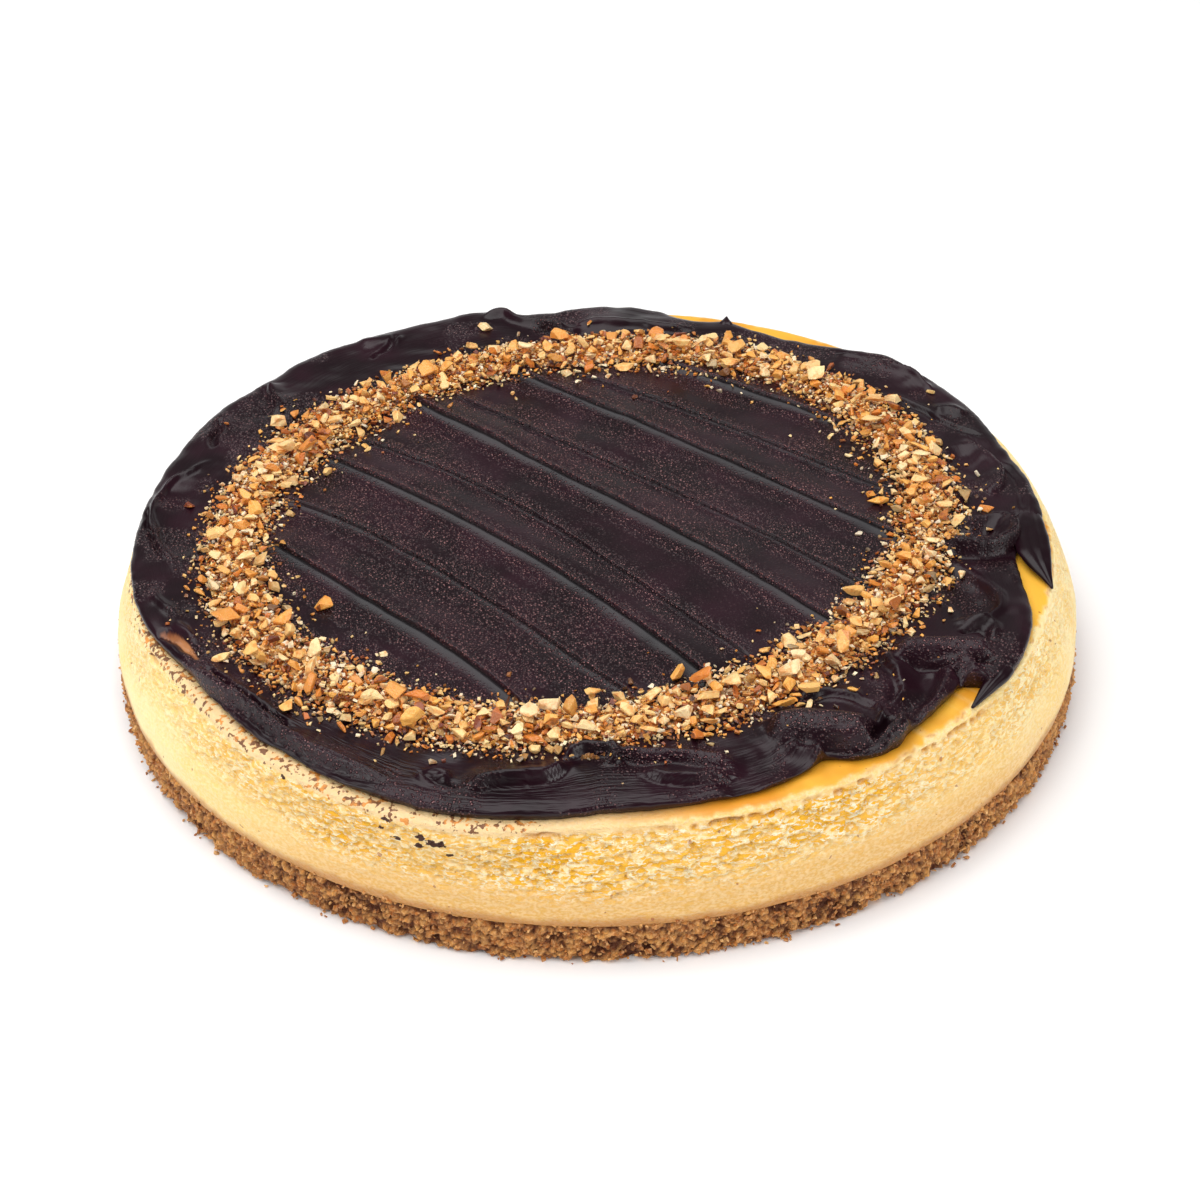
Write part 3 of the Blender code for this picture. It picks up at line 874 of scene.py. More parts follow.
def tornRelief(angle, height):  # depth of the torn side, the painted shade of its hollows and the painted highlight on its lips
    spots = onRing(angle, 138, height)
    wander = 1.0 * softNoise(spots / np.array([8, 8, 5]), 1, 11)
    wander = wander + 0.6 * softNoise(spots / np.array([1.9, 1.9, 1.4]), 1, 12)
    phase = (height + wander) / filling["ledge"]
    number = np.floor(phase)
    ledge = phase - number
    own = np.column_stack([spots[:, 0] / 2.8, spots[:, 1] / 2.8, number * 3.7])
    present = fade(softNoise(own, 1, 14), -0.35, 0.15)
    front = 0.34 + 0.66 * nearAngle(angle, 282, 58)
    patchy = 0.8 + 0.35 * softNoise(spots, 26, 15)
    lower = 23.0 + 2.5 * ringNoise(angle, 24, 16) + 4 * (1 - front)
    zone = between(height, lower - 4.5, lower + 4.5, 36.6, 37.6)
    strength = zone * front * patchy
    deep = ledge ** 0.8 * present
    holes = softNoise(spots / np.array([1.15, 1.15, 0.8]), 1, 17)
    holeZone = between(height, 14.5, 24, 36.8, 37.8)
    pits = fade(holes, 0.2, 0.65) * holeZone * (0.3 + 0.7 * zone)
    calm = 0.14 * softNoise(spots, 7, 18) + 0.05 * softNoise(spots, 1.8, 19)
    seamHeight = 36.9 + 0.5 * ringNoise(angle, 6, 25) + 0.3 * ringNoise(angle, 2, 26)
    seamShare = fade(ringNoise(angle, 11, 27) + 0.8 * nearAngle(angle, 296, 26), 0.25, 0.7)
    seamShare = seamShare * fade(ringNoise(angle, 2.2, 48), -0.5, 0.1)
    # the crack under the skin's edge, which also gets a painted shade
    seam = hump(height - seamHeight, 0.5) * seamShare
    total = filling["tearDepth"] * strength * (deep - 0.3) + 0.6 * pits + calm + 1.3 * seam
    # painted shade: deeper yellow in the ledges' hollows, the pits and the crack
    yellow = np.clip(strength * fade(deep, 0.3, 0.85) + 0.6 * pits + seam, 0, 1)
    # painted highlight on the upward-facing lips of the torn ledges
    pale = strength * present * (1 - fade(ledge, 0.12, 0.45)) * fade(holes, 0.3, -0.2)
    return total, yellow, np.clip(pale, 0, 1), seam, np.clip(strength, 0, 1)


def turnedSkin(name, rows, segments):  # closed at both poles
    shape = wrappedRows(rows, segments)
    row = rowsOf(cornersOf(shape))[0]
    rings = ([], [])
    for edge in shape.edges:
        if edge.is_boundary:
            rings[int(row[edge.verts[0].index] > 0)].append(edge)
    closeRing(shape, rings[0], -1)
    closeRing(shape, rings[1], 1)
    mesh = meshFrom(shape, name)
    coords = readCoords(mesh)
    row, angle = rowsOf(coords)
    return mesh, np.where((row < 0) & (coords[:, 2] > 0), rows, row), angle


def makeFilling():
    wallRows = filling["wallRows"]
    shoulderRows = filling["shoulderRows"]
    total = 1 + wallRows + shoulderRows + filling["topRows"]
    mesh, row, angle = turnedSkin("cheeseFillingSkin", total, filling["segments"])
    wall = np.clip((row - 1) / (wallRows - 1), 0, 1)
    bottom = filling["profile"][0][0]
    top = fillingTop - filling["shoulderFall"]
    height = bottom + (top - bottom) * wall
    torn, pit, pale, seam, rough = tornRelief(angle, height)
    crease = shoulderRadius(angle)
    radius = fillingWall(angle, height) - torn
    shoulder = np.clip((row - wallRows) / shoulderRows, 0, 1)
    turnIn = shoulder * math.pi / 2
    onShoulder = (row > wallRows) & (row <= wallRows + shoulderRows)
    rounding = filling["shoulderRound"]
    rounded = crease - rounding * (1 - np.cos(turnIn))
    height = np.where(onShoulder, top + filling["shoulderRise"] * np.sin(turnIn), height)
    radius = np.where(onShoulder, rounded, radius)
    flat = np.clip((row - wallRows - shoulderRows) / filling["topRows"], 0, 1)
    inward = (crease - rounding) + (filling["innerTop"] - crease + rounding) * flat
    onTop = row > wallRows + shoulderRows
    radius = np.where(onTop, inward, radius)
    height = np.where(onTop, fillingTop - 0.1, height)
    radius = np.where(row == 0, filling["innerFoot"], radius)
    radius = np.where((row < 0) | (row == total), 0, radius)
    coords = onRing(angle, radius, height)
    uneven = 0.15 * softNoise(coords, 9, 21) + 0.05 * softNoise(coords, 2.2, 22)
    coords[:, 2] += np.where(onTop | onShoulder, uneven - 0.1, 0)
    writeCoords(mesh, coords)
    side = row <= wallRows
    addNumbers(mesh, pit=pit * side, torn=rough * side, pale=pale * side)
    baked = between(angle, 40, 52, 84, 96) + fade(angle, 262, 292) + 0.25
    around = onRing(angle, 132)
    bitten = shoulder + 0.3 * softNoise(around, 1.6, 53) + 0.2 * softNoise(around, 5, 54)
    gold = fade(bitten, 0.45, 0.85) * np.clip(baked, 0, 1)
    rim = hump(bitten - 0.5, 0.16) * fade(softNoise(around, 2.2, 55), -0.1, 0.35) * fade(angle, 296, 306)
    # painted shade: the front of the wall darker and warmer than the sides, most of all low down
    warm = nearAngle(angle, 284, 48) * (1 - fade(coords[:, 2], 17, 27))
    warm = np.clip(warm + 0.5 * nearAngle(angle, 272, 50), 0, 1)
    blush = fade(coords[:, 2], 36.6 + 0.6 * ringNoise(angle, 5, 28), 37.6) * nearAngle(angle, 236, 40, 6)
    foot = 14.2 + 0.7 * ringNoise(angle, 9, 29) + 0.5 * ringNoise(angle, 2.5, 30)
    foot = 1 - fade(coords[:, 2], foot - 0.6, foot + 2.0)
    # seam: painted shade in the wall's crack, and the real baked brown line on the top's rim
    seam = np.clip(seam * side + 0.9 * rim, 0, 1)
    addNumbers(mesh, gold=gold, warm=warm, blush=blush, foot=foot, seam=seam,
               smudge=smudgeMask(coords, angle), fleck=fleckMask(coords, angle))
    return mesh


# Chocolate stains on the shoulder: angles, heights and amount.
smudges = ((180, 217, 34.4, 38.6, 0.8), (210, 266, 35.6, 38.6, 0.56))

# Dark flecks on the side: angle, height, half width and half height.
flecks = (
    (246.3, 34.0, 0.9, 0.6), (248.3, 32.3, 1.5, 0.7), (251.0, 34.6, 1.3, 1.0), (252.8, 33.4, 2.8, 1.2),
    (250.9, 31.7, 1.6, 0.8), (254.0, 29.9, 1.2, 0.6), (247.0, 37.2, 1.2, 0.5), (233.0, 36.4, 1.4, 0.6),
)


def smudgeMask(coords, angle):  # how thickly the stains lie; the material draws their ragged edges
    total = np.zeros(len(coords))
    streaky = 0.8 + 0.35 * softNoise(coords, 4, 23)
    for low, high, bottom, top, amount in smudges:
        inside = between(angle, low, low + 4, high - 4, high)
        rise = between(coords[:, 2], bottom, top, top + 1, top + 1.6)
        total = np.maximum(total, amount * inside * rise * streaky)
    return total


def fleckMask(coords, angle):
    total = np.zeros(len(coords))
    for place, level, wide, tall in flecks:
        sideways = angleGap(angle, place) * math.radians(135) / wide
        total = np.maximum(total, 1.5 - np.hypot(sideways, (coords[:, 2] - level) / tall))
    return np.clip(total, 0, 1)


def fillingMaterial():
    material, tree, shader = newMaterial("cheese", 0.46, IOR=1.4, Subsurface_Weight=0.12,
                                         Subsurface_Scale=0.002, Subsurface_Radius=(1.0, 0.6, 0.25))
    names = ("gold", "pit", "torn", "warm", "pale", "foot", "seam", "blush", "smudge", "fleck")
    gold, pit, torn, warm, pale, foot, seam, blush, smudge, fleck = [numberOf(tree, name) for name in names]
    patches = mottleMask(tree, 45, 0.35, 0.68)
    fine = mottleMask(tree, 900, 0.36, 0.64, 2, squash=1.8)
    holes = mottleMask(tree, 520, 0.515, 0.55, 3, squash=2.8)
    lips = mottleMask(tree, 760, 0.5, 0.57, 2, squash=1.8)
    cracks = mottleMask(tree, 270, 0.565, 0.595, 4, squash=3.4)
    rims = mathNode(tree, "SUBTRACT", mottleMask(tree, 270, 0.5, 0.54, 4, squash=3.4), cracks, clamp=True)
    # painted highlight: pale lips and rims beside the cracks
    light = times(tree, mathNode(tree, "MAXIMUM", times(tree, lips, 0.5), rims), torn)
    light = mathNode(tree, "MAXIMUM", light, times(tree, pale, 0.6))
    # painted shade: saturated yellow in the holes and cracks
    pocket = mathNode(tree, "MAXIMUM", times(tree, holes, 0.85), cracks)
    pocket = times(tree, pocket, mathNode(tree, "ADD", times(tree, torn, 1.15), 0.06), clamp=True)
    pocket = mathNode(tree, "MAXIMUM", pocket, times(tree, pit, 0.55))
    ragged = mottleMask(tree, 620, 0.3, 0.7, 3)
    stained = stretched(tree, mathNode(tree, "ADD", ragged, smudge), 1.12, 1.2)
    fleck = times(tree, fleck, mathNode(tree, "ADD", ragged, 0.35))
    final = layered(tree, (255, 230, 164), (
        (patches, (255, 220, 136)),
        # painted shade on the front of the wall
        (warm, (228, 177, 94)),
        (times(tree, fine, 0.3), (255, 240, 206)),
        (times(tree, light, 0.9), (255, 252, 228)),
        (pocket, (243, 178, 24)),
        (times(tree, foot, 0.75), (186, 124, 66)),
        # painted shade in the crack under the skin's edge, baked brown line on the top's rim
        (times(tree, seam, 0.7), (196, 116, 20)),
        (gold, mixColours(tree, patches, (246, 184, 60), (224, 146, 32))),
        (times(tree, blush, 0.7), (236, 204, 158)),
        (times(tree, mottleMask(tree, 420, 0.755, 0.78, 1), 0.6), (150, 60, 40)),
        (times(tree, stained, 0.9),
         mixColours(tree, mottleMask(tree, 260, 0.45, 0.6), (104, 48, 20), (228, 142, 52))),
        (stretched(tree, fleck, 0.4, 0.48), (66, 32, 16)),
    ))
    feed(tree, shader.inputs["Base Color"], final)
    rugged = mathNode(tree, "SUBTRACT", times(tree, fine, 0.6), holes)
    sharp = times(tree, mathNode(tree, "SUBTRACT", rims, cracks), torn)
    rugged = mathNode(tree, "ADD", rugged, sharp)
    rugged = times(tree, rugged, mathNode(tree, "SUBTRACT", 1.0, gold))
    bumpInto(tree, shader, rugged, 0.5, 0.0005)
    return material


# the biscuit crust

crust = {
    "segments": 2200,
    "wallRows": 32,
    "radius": 140.2,
    "footRadius": 133,
    "capRadius": 138.2,
    "innerRadius": 132,
    "crag": 2.1,
    "grain": 1.9,
    "crumbs": 2600,
    "floorShare": 25,          # one crumb in this many lies on the floor
}


def crustRelief(angle, height):
    spots = onRing(angle, crust["radius"], height)
    warped = spots + 0.5 * np.column_stack([softNoise(spots, 1.6, seed) for seed in (31, 32, 33)])
    nearest, own = grains(warped, crust["grain"], 34)
    lumps = np.clip(1 - (nearest / 0.75) ** 2, 0, 1)
    nearest, ownSmall = grains(warped, crust["grain"] * 0.48, 38)
    small = np.clip(1 - (nearest / 0.75) ** 2, 0, 1)
    slow = softNoise(spots, 9, 42)
    missing = fade(softNoise(spots, 4.5, 43), 0.25, 0.6)
    relief = crust["crag"] * (0.5 * lumps * (0.55 + 0.9 * own) + 0.28 * small * (0.4 + ownSmall) - 0.45)
    relief = relief + 0.5 * slow - 1.1 * missing
    # gap: painted shade in the hollows between the grains
    gap = np.clip(1.2 - lumps * 0.85 - small * 0.55 + missing * 0.6, 0, 1)
    return relief, gap, own


def makeCrust():
    wallRows = crust["wallRows"]
    total = wallRows + 3
    mesh, row, angle = turnedSkin("biscuitCrustSkin", total, crust["segments"])
    share = np.clip((row - 1) / (wallRows - 1), 0, 1)
    wavy = baseTop + 0.5 + 0.9 * ringNoise(angle, 9, 44) + 0.5 * ringNoise(angle, 2.5, 45)
    ragged = 0.05 + 1.3 * fade(ringNoise(angle, 5, 46), 0.1, 0.6)
    ragged = ragged + 0.5 * fade(ringNoise(angle, 1.8, 47), 0.3, 0.8)
    height = ragged + (wavy - ragged) * share
    relief, gap, own = crustRelief(angle, height)
    rounding = 1.2 * (1 - fade(share, 0, 0.12)) + 0.9 * fade(share, 0.86, 1.0)
    radius = crust["radius"] + relief - rounding
    for number, end in ((0, "footRadius"), (wallRows + 1, "capRadius"), (wallRows + 2, "innerRadius")):
        radius = np.where(row == number, crust[end], radius)
    radius = np.where((row < 0) | (row == total), 0, radius)
    height = np.where(row < 1, 0.0, np.where(row > wallRows, baseTop + 0.1, height))
    writeCoords(mesh, onRing(angle, radius, height))
    addNumbers(mesh, gap=gap, tone=own)
    return mesh


def crustMaterial():
    material, tree, shader = newMaterial("biscuit", 0.6, IOR=1.4)
    fine = mottleMask(tree, 1300, 0.38, 0.62, 2)
    final = layered(tree, (196, 112, 36), (
        (numberOf(tree, "tone"), (244, 176, 92)),
        (times(tree, mottleMask(tree, 90, 0.35, 0.68), 0.4), (176, 94, 34)),
        (times(tree, fine, 0.45), (240, 188, 126)),
        # painted shade between the grains
        (times(tree, numberOf(tree, "gap"), 0.95), (78, 26, 2)),
    ))
    feed(tree, shader.inputs["Base Color"], final)
    bumpInto(tree, shader, fine, 0.8, 0.0005)
    return material


# chopped nuts and crumbs

nuts = {
    "seed": 11,
    "shapes": 24,              # different splinters for each kind
    "cell": 0.6,               # size of a cell of the height map
    "span": 140,
    "reach": 42,               # furthest that pieces lie from the ring
    "heap": 3.7,               # how high the pieces pile up
    "bed": {"segments": 1300, "rows": 44, "reach": 13, "height": 2.1, "grain": 1.3},
    # number, least and greatest size, spread, cuts, rounding and piece
    "kinds": (
        (1700, (1.5, 3.2), 5.8, 3, 0, "nutBits"),
        (3600, (0.7, 1.9), 6.0, 0, 0, "nutCrumbs"),
        (430, (3.0, 4.8), 5.4, 7, 0.05, "nutPieces"),
        (110, (4.6, 7.0), 4.8, 7, 0.06, "nutPieces"),
        (1100, (1.3, 2.6), 6.2, 3, 0, "nutBits"),
        (3600, (0.7, 1.7), 6.6, 0, 0, "nutCrumbs"),
        (2300, (0.4, 1.4), 10.5, 0, 0, "nutCrumbs"),
        (70, (1.6, 3.6), 12.5, 6, 0.06, "nutPieces"),
    ),
    "thin": (((92, 15), 7, 0.75), ((71, -66), 6, 0.6), ((90, -15), 9, 0.6), ((104, -20), 7, 0.5),
             ((-92, 22), 6, 0.3), ((-65, 75), 4, 0.8), ((-98, -55), 6, 0.5), ((-8, -89), 5, 0.4)),
    "singles": ((-35, 109, 4.4, 0.20), (113, 0, 4.4, 0.66), (-81, -89, 5.0, 0.45), (-105, -44, 4.6, 0.35),
                (-75, -44, 5.4, 0.55), (67, -86, 3.0, 0.50), (-1, -87, 4.6, 0.40), (-101, -67, 5.2, 0.30),
                (-92, -71, 5.6, 0.42), (36, 92, 5.0, 0.40), (82, 3, 6.5, 0.50), (104, -7, 5.4, 0.30)),
}


def choppedShape(chance, cuts, rounding):  # an angular splinter, its longest side 1
    shape = bmesh.new()
    bmesh.ops.create_cube(shape, size=1.6)
    rind = chance.integers(6)
    for face in shape.faces:
        face.material_index = 0 if face.index == rind else 1
    for corner in shape.verts:
        corner.co += Vector(chance.normal(0, 0.24, 3))
    for cut in range(cuts):
        way = Vector(chance.normal(size=3)).normalized()
        parts = shape.verts[:] + shape.edges[:] + shape.faces[:]
        cutEdges = bmesh.ops.bisect_plane(shape, geom=parts, plane_co=way * chance.uniform(0.25, 0.8),
                                          plane_no=way, clear_outer=True)["geom_cut"]
        cutEdges = [item for item in cutEdges if isinstance(item, bmesh.types.BMEdge)]
        if len(cutEdges) > 2:
            for face in bmesh.ops.contextual_create(shape, geom=cutEdges)["faces"]:
                face.material_index = 1
    form = (1, chance.uniform(0.42, 0.92), chance.uniform(0.26, 0.56))
    bmesh.ops.scale(shape, vec=form, verts=shape.verts)
    bmesh.ops.remove_doubles(shape, verts=shape.verts, dist=0.03)
    if rounding:
        bmesh.ops.bevel(shape, geom=shape.edges, offset=rounding, affect="EDGES", segments=1, profile=0.5,
                        material=-1)
    bmesh.ops.dissolve_degenerate(shape, dist=0.01, edges=shape.edges)
    bmesh.ops.triangulate(shape, faces=shape.faces)
    bmesh.ops.recalc_face_normals(shape, faces=shape.faces)
    shape.verts.index_update()
    coords = cornersOf(shape)
    faces = np.array([[corner.index for corner in face.verts] for face in shape.faces])
    skin = np.array([face.material_index == 0 for face in shape.faces], float)
    shape.free()
    centre = (coords.max(axis=0) + coords.min(axis=0)) / 2
    coords = (coords - centre) / np.ptp(coords, axis=0).max()
    return coords, faces, skin


def bedHeight(xy):  # fine crumbs packed between the pieces: height above the cream
    angle = angleOf(xy)
    shift = np.hypot(xy[:, 0], xy[:, 1]) - ringRadius(angle)
    spots = flatPoints(xy)
    width = 5.8 + 1.7 * softNoise(spots, 16, 56)
    mound = nuts["bed"]["height"] * np.exp(-(shift / width) ** 4) * (0.75 + 0.4 * softNoise(spots, 6, 57))
    for (x, y), reach, loss in nuts["thin"]:
        away = (xy[:, 0] - x) ** 2 + (xy[:, 1] - y) ** 2
        mound = mound * (1 - loss * np.exp(-away / reach ** 2))
    return mound - 0.7


def makeBed():
    bed = nuts["bed"]
    shape = wrappedRows(bed["rows"] + 1, bed["segments"])
    row, angle = rowsOf(cornersOf(shape))
    loops = [edge for edge in shape.edges if edge.is_boundary]
    bmesh.ops.bridge_loops(shape, edges=loops)
    bmesh.ops.recalc_face_normals(shape, faces=shape.faces)
    mesh = meshFrom(shape, "nutBed")
    shift = (np.clip(row / (bed["rows"] - 1), 0, 1) * 2 - 1) * bed["reach"]
    shift = np.where(row >= bed["rows"], np.where(row == bed["rows"], 0.7, -0.7) * bed["reach"], shift)
    radius = ringRadius(angle) + shift
    spots = onRing(angle, radius)
    xy = spots[:, :2]
    base = creamSurface(xy)[0]
    nearest, own = grains(spots, bed["grain"], 58)
    lumps = np.clip(1 - (nearest / 0.8) ** 2, 0, 1)
    height = base + bedHeight(xy) + 1.1 * lumps * (0.3 + own) - 0.3
    height = np.where(row >= bed["rows"], base - 2.2, height)
    writeCoords(mesh, np.column_stack([xy, height]))
    tone = np.clip(0.45 + own * 0.5 + 0.12 * softNoise(spots, 6, 59), 0, 1)
    # painted shade in the hollows between the bed's grains, and chocolate soaked in towards its edges
    soak = np.clip(1.1 - 1.5 * lumps + np.clip(np.abs(shift) - 4, 0, 9) / 12, 0, 0.95)
    addNumbers(mesh, tone=tone, soak=soak, skin=np.zeros(len(xy)))
    return mesh


def randomTurn(chance, tilt):
    axis = Vector((chance.normal(), chance.normal(), 0.001)).normalized()
    tipped = Matrix.Rotation(chance.normal(0, tilt), 3, axis)
    return np.array(tipped @ Matrix.Rotation(chance.uniform(0, 2 * math.pi), 3, "Z"))


def joinedPieces(name, pieces):  # one mesh from many small closed shapes
    corners, faces, skins, tones, soaks = [], [], [], [], []
    count = 0
    for (coords, triangles, skin), turn, size, place, tone, soak in pieces:
        corners.append((coords @ turn.T) * size + place)
        faces.append(triangles + count)
        skins.append(np.repeat(skin, 3))
        tones.append(np.full(len(coords), tone))
        soaks.append(np.full(len(coords), soak))
        count += len(coords)
    corners = np.vstack(corners)
    faces = np.vstack(faces)
    mesh = bpy.data.meshes.new(name)
    mesh.vertices.add(len(corners))
    mesh.loops.add(faces.size)
    mesh.polygons.add(len(faces))
    mesh.loops.foreach_set("vertex_index", faces.ravel().astype(np.int32))
    mesh.polygons.foreach_set("loop_start", np.arange(0, faces.size, 3, dtype=np.int32))
    mesh.update(calc_edges=True)
    writeCoords(mesh, corners)
    addNumbers(mesh, tone=np.concatenate(tones), soak=np.concatenate(soaks))
    layer = mesh.attributes.new("skin", "FLOAT", "CORNER")
    layer.data.foreach_set("value", np.concatenate(skins).astype(np.float32))
    return mesh


def heightMaps():  # the cream, and the cream with its bed of crumbs, on a square grid
    cell = nuts["cell"]
    places = np.arange(-nuts["span"], nuts["span"], cell)
    x, y = np.meshgrid(places, places, indexing="ij")
    xy = np.column_stack([x.ravel(), y.ravel()])
    angle = angleOf(xy)
    away = np.abs(np.hypot(xy[:, 0], xy[:, 1]) - ringRadius(angle))
    height = np.full(len(xy), cream["level"])
    near = away < nuts["reach"]
    height[near] = creamSurface(xy[near])[0]
    covered = height.copy()
    covered[near] += np.clip(bedHeight(xy[near]) + 0.2, 0, None)
    return height.reshape(x.shape), covered.reshape(x.shape)


nutLimit = creamEdge(np.arange(361.0))


def ringSpot(chance, spread):  # a random place in the ring, or none where the nuts lie thin
    angle = chance.uniform(0, 360)
    swelling = 1 + 0.2 * math.sin(math.radians(5 * angle + 40)) + 0.16 * math.sin(math.radians(13 * angle))
    shift = float(np.clip(chance.normal(0, spread * swelling), -34, 34))
    radius = float(ringRadius(angle)) + shift
    spot = np.array([radius * math.cos(math.radians(angle)), radius * math.sin(math.radians(angle))])
    share = 1.0
    for (x, y), reach, loss in nuts["thin"]:
        share -= loss * math.exp(-((spot[0] - x) ** 2 + (spot[1] - y) ** 2) / reach ** 2)
    if chance.uniform() > share or radius > nutLimit[int(angle)] - 4:
        return None, shift
    return spot, shift


def layNuts():
    chance = np.random.default_rng(nuts["seed"])
    bare, ground = heightMaps()
    groups = {}
    for count, (least, greatest), spread, cuts, rounding, group in nuts["kinds"]:
        shapes = [choppedShape(chance, cuts, rounding) for number in range(nuts["shapes"])]
        for number in range(count):
            size = least + (greatest - least) * chance.beta(1.2, 2.2)
            reach = max(0.3, size * 0.36)
            best = None
            for attempt in range(5):
                spot, shift = ringSpot(chance, spread)
                if spot is None:
                    continue
                low = ((spot - reach + nuts["span"]) / nuts["cell"]).astype(int)
                high = ((spot + reach + nuts["span"]) / nuts["cell"]).astype(int) + 1
                here = (slice(low[0], high[0]), slice(low[1], high[1]))
                rest = np.partition(ground[here].ravel(), -3)[-3]
                pile = rest - bare[here].mean()
                room = nuts["heap"] * math.exp(-(shift / 9.5) ** 2) + 0.2 * size - pile
                if best is None or room > best[0]:
                    best = (room, spot, here, rest)
            if best is None or best[0] < 0:
                continue
            room, spot, here, rest = best
            shape = shapes[chance.integers(len(shapes))]
            turn = randomTurn(chance, 0.38)
            heights = (shape[0] @ turn.T)[:, 2] * size
            place = np.array([spot[0], spot[1], rest - heights.min() * 0.85])
            tone = chance.beta(1.1, 1.35) if size < 2.6 else 0.16 + 0.8 * chance.beta(1.1, 2.2)
            soak = np.clip((abs(shift) - 5) / 8, 0.08, 0.9) * chance.uniform()
            groups.setdefault(group, []).append((shape, turn, size, place, tone, soak))
            np.maximum(ground[here], place[2] + heights.max() * 0.7, out=ground[here])
    for x, y, size, tone in nuts["singles"]:
        shape = shapes[chance.integers(len(shapes))]
        turn = randomTurn(chance, 0.2)
        cell = ((np.array([x, y]) + nuts["span"]) / nuts["cell"]).astype(int)
        place = np.array([x, y, ground[cell[0], cell[1]] - (shape[0] @ turn.T)[:, 2].min() * size * 0.8])
        groups["nutPieces"].append((shape, turn, size, place, tone, 0))
    return groups


def rampColours(tree, value, stops):
    ramp = tree.nodes.new("ShaderNodeValToRGB")
    tree.links.new(value, ramp.inputs["Fac"])
    elements = ramp.color_ramp.elements
    elements[0].color = linear(*stops[0][1])
    elements[1].color = linear(*stops[-1][1])
    for place, colour in stops[1:-1]:
        elements.new(place).color = linear(*colour)
    return ramp.outputs["Color"]


def nutMaterial():
    material, tree, shader = newMaterial("nut", 0.3, IOR=1.5, Subsurface_Weight=0.12,
                                         Subsurface_Scale=0.0015, Subsurface_Radius=(1.0, 0.55, 0.25))
    tone = numberOf(tree, "tone")
    patches = mottleMask(tree, 380, 0.48, 0.68)
    flesh = rampColours(tree, tone, ((0.0, (255, 238, 208)), (0.25, (253, 216, 150)), (0.5, (246, 180, 88)),
                                     (0.7, (214, 122, 46)), (0.83, (118, 52, 32)), (1.0, (42, 20, 20))))
    dark = times(tree, numberOf(tree, "skin"), stretched(tree, tone, 0.2, 0.5))
    final = layered(tree, flesh, (
        (times(tree, patches, 0.65), (230, 140, 50)),
        (times(tree, dark, 0.85), mixColours(tree, patches, (200, 106, 38), (86, 36, 24))),
        # chocolate soaked into the outer nuts, and painted shade between the bed's grains
        (numberOf(tree, "soak"), (88, 66, 48)),
    ))
    feed(tree, shader.inputs["Base Color"], final)
    bumpInto(tree, shader, mottleMask(tree, 1400, 0.3, 0.7, 2), 0.4, 0.0003)
    return material


def crumbMaterial():
    material, tree, shader = newMaterial("crumb", 0.7, IOR=1.4)
    fine = mottleMask(tree, 1300, 0.38, 0.62, 2)
    body = rampColours(tree, numberOf(tree, "tone"), ((0.0, (150, 78, 28)), (0.5, (200, 126, 58)),
                                                      (1.0, (238, 184, 114))))
    final = mixColours(tree, times(tree, fine, 0.4), body, (236, 192, 138))
    feed(tree, shader.inputs["Base Color"], final)
    bumpInto(tree, shader, fine, 0.8, 0.0004)
    return material


def layCrumbs():  # crumbs that stick to the crust and lie at its foot
    chance = np.random.default_rng(nuts["seed"] + 1)
    shapes = [choppedShape(chance, 1, 0) for number in range(nuts["shapes"])]
    pieces = []
    for number in range(crust["crumbs"]):
        angle = chance.uniform(0, 360)
        onFloor = number % crust["floorShare"] == 0
        size = 0.6 + 1.7 * chance.beta(1.2, 2.6)
        height = size * 0.35 if onFloor else chance.uniform(0.4, baseTop + 1.0)
        radius = crust["radius"] + (chance.uniform(-0.5, 1.5) if onFloor else chance.uniform(-0.9, 0.2))
        turn = math.radians(angle)
        place = np.array([radius * math.cos(turn), radius * math.sin(turn), height])
        shape = shapes[chance.integers(len(shapes))]
        pieces.append((shape, randomTurn(chance, 1.2), size, place, chance.uniform(), 0))
    return joinedPieces("biscuitCrumbs", pieces)


# small drips of chocolate past the edge

drips = (
    {"points": ((126.0, 10, 40.2), (125.8, 3, 41.5), (125.1, -4, 42.1), (124.4, -12, 42.1),
                (124.4, -19, 41.8), (125.2, -25, 41.3), (126.3, -29.6, 40.6), (127.4, -34.2, 39.7)),
     "widths": (0.6, 2.4, 4.1, 5.2, 4.9, 3.5, 1.8, 0.35),
     "thickness": (0.5, 1.0, 1.4, 1.6, 1.7, 1.5, 1.1, 0.35)},
    {"points": ((109, -71, 41.2), (106.6, -76, 41.4), (103, -81, 40.9), (98.2, -87.5, 39.7)),
     "widths": (3.4, 3.0, 2.0, 0.4), "thickness": (1.6, 1.9, 1.3, 0.35)},
    {"points": ((42.6, 108, 41.6), (43, 111, 42.4), (43.2, 113, 43.0), (43.4, 114.6, 43.6)),
     "widths": (3.6, 2.6, 1.2, 0.3), "thickness": (1.6, 1.6, 1.0, 0.3)},
)


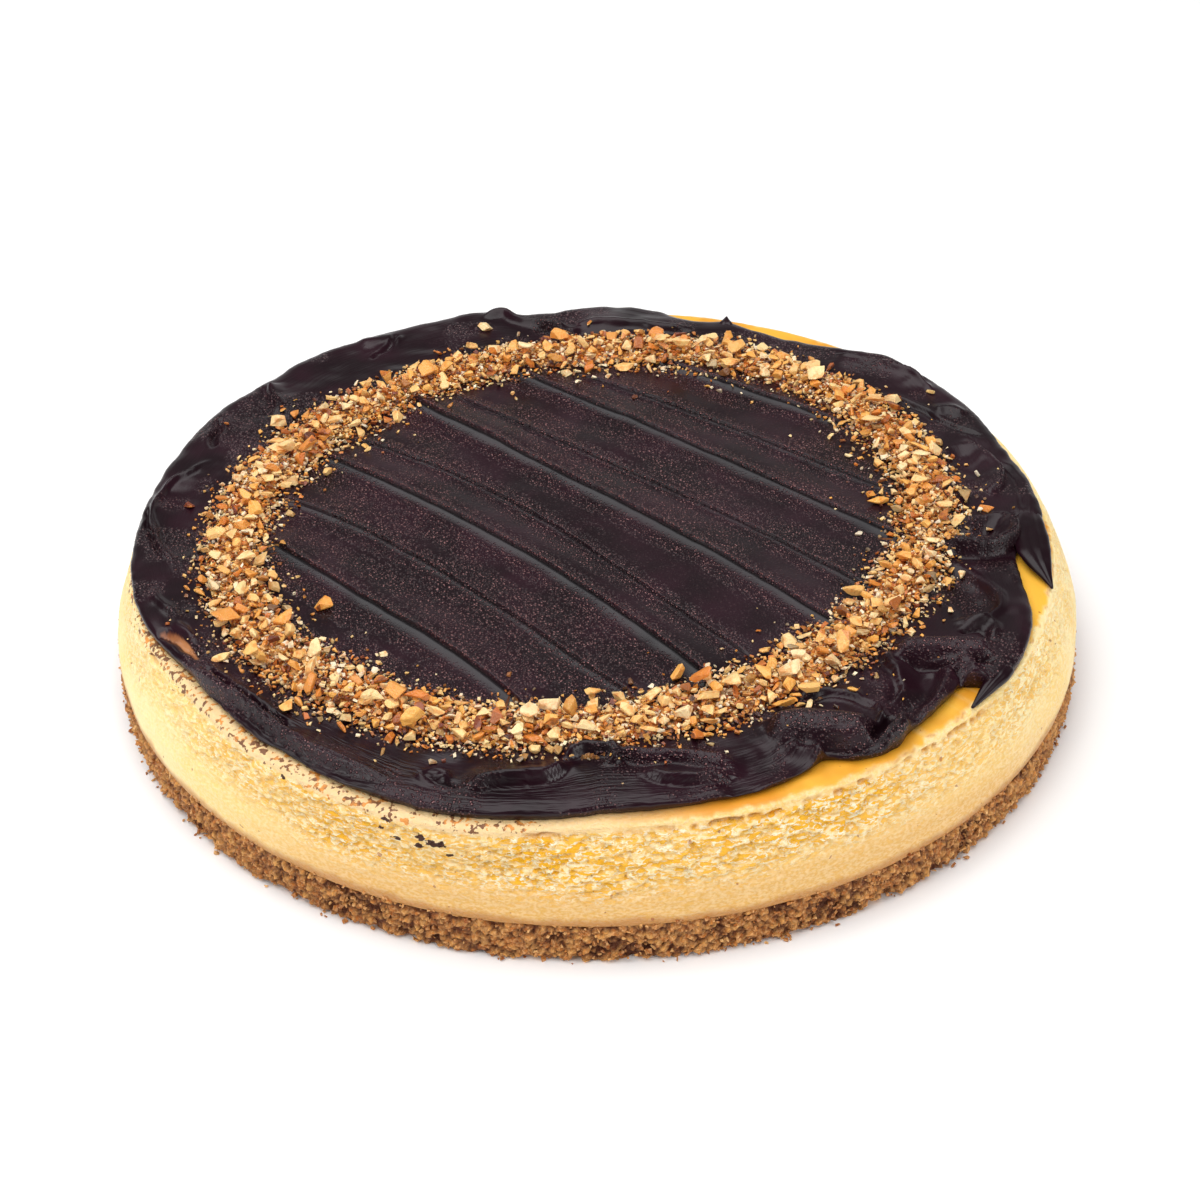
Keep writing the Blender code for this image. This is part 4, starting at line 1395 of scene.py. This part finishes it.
def dripShell(shape, drip):
    path = smoothPath(drip["points"], 6)
    share = np.linspace(0, 1, len(path))
    knots = np.linspace(0, 1, len(drip["points"]))
    widths = np.interp(share, knots, drip["widths"])
    depths = np.interp(share, knots, drip["thickness"])
    ends = np.clip(np.sqrt(1 - np.clip(1 - share * 6, 0, 1) ** 2), 0.15, 1)
    ring = bmesh.ops.create_circle(shape, segments=28, radius=1, cap_ends=True)["verts"]
    around = [(corner.co.x, corner.co.y) for corner in ring]
    face = ring[0].link_faces[0]
    ways = np.gradient(path, axis=0)
    for number, (centre, way, width, depth, end) in enumerate(zip(path, ways, widths, depths, ends)):
        if number:
            grown = bmesh.ops.extrude_discrete_faces(shape, faces=[face])["faces"]
            face = grown[0]
            ring = list(face.verts)
        sideways = Vector((way[1], -way[0], 0)).normalized()
        for corner, (x, y) in zip(ring, around):
            fall = 0.3 * hump(x - 0.1, 0.2) + 0.2 * hump(x + 0.55, 0.15) if y > 0 else 0
            rise = (y - fall) * depth * end
            corner.co = Vector(centre) + sideways * (x * width * end) + Vector((0, 0, rise))
    return shape


def makeDrips():
    shape = bmesh.new()
    for drip in drips:
        dripShell(shape, drip)
    bmesh.ops.recalc_face_normals(shape, faces=shape.faces)
    mesh = meshFrom(shape, "chocolateDrips")
    coords = readCoords(mesh)
    coords[:, 2] += 0.15 * softNoise(coords, 3, 51)
    writeCoords(mesh, coords)
    for name in ("band", "crest", "grain", "milk", "brush", "inward", "eastward", "northward"):
        addNumbers(mesh, **{name: np.zeros(len(mesh.vertices))})
    return mesh


makeStudio()

chocolate = creamMaterial()
finishPiece("chocolateCream", turnedOutwards(shapeCream()), chocolate,
            replaced=["chocolate_topping"])
finishPiece("chocolateDrips", makeDrips(), chocolate)

finishPiece("cheeseFillingSkin", turnedOutwards(makeFilling()), fillingMaterial(),
            replaced=["cheese_filling"])
finishPiece("biscuitCrustSkin", turnedOutwards(makeCrust()), crustMaterial(),
            replaced=["biscuit_base"])
finishPiece("biscuitCrumbs", layCrumbs(), crumbMaterial(), smooth=False)

nutFinish = nutMaterial()
finishPiece("nutBed", makeBed(), nutFinish)
for name, pieces in layNuts().items():
    finishPiece(name, joinedPieces(name, pieces), nutFinish, smooth=False)
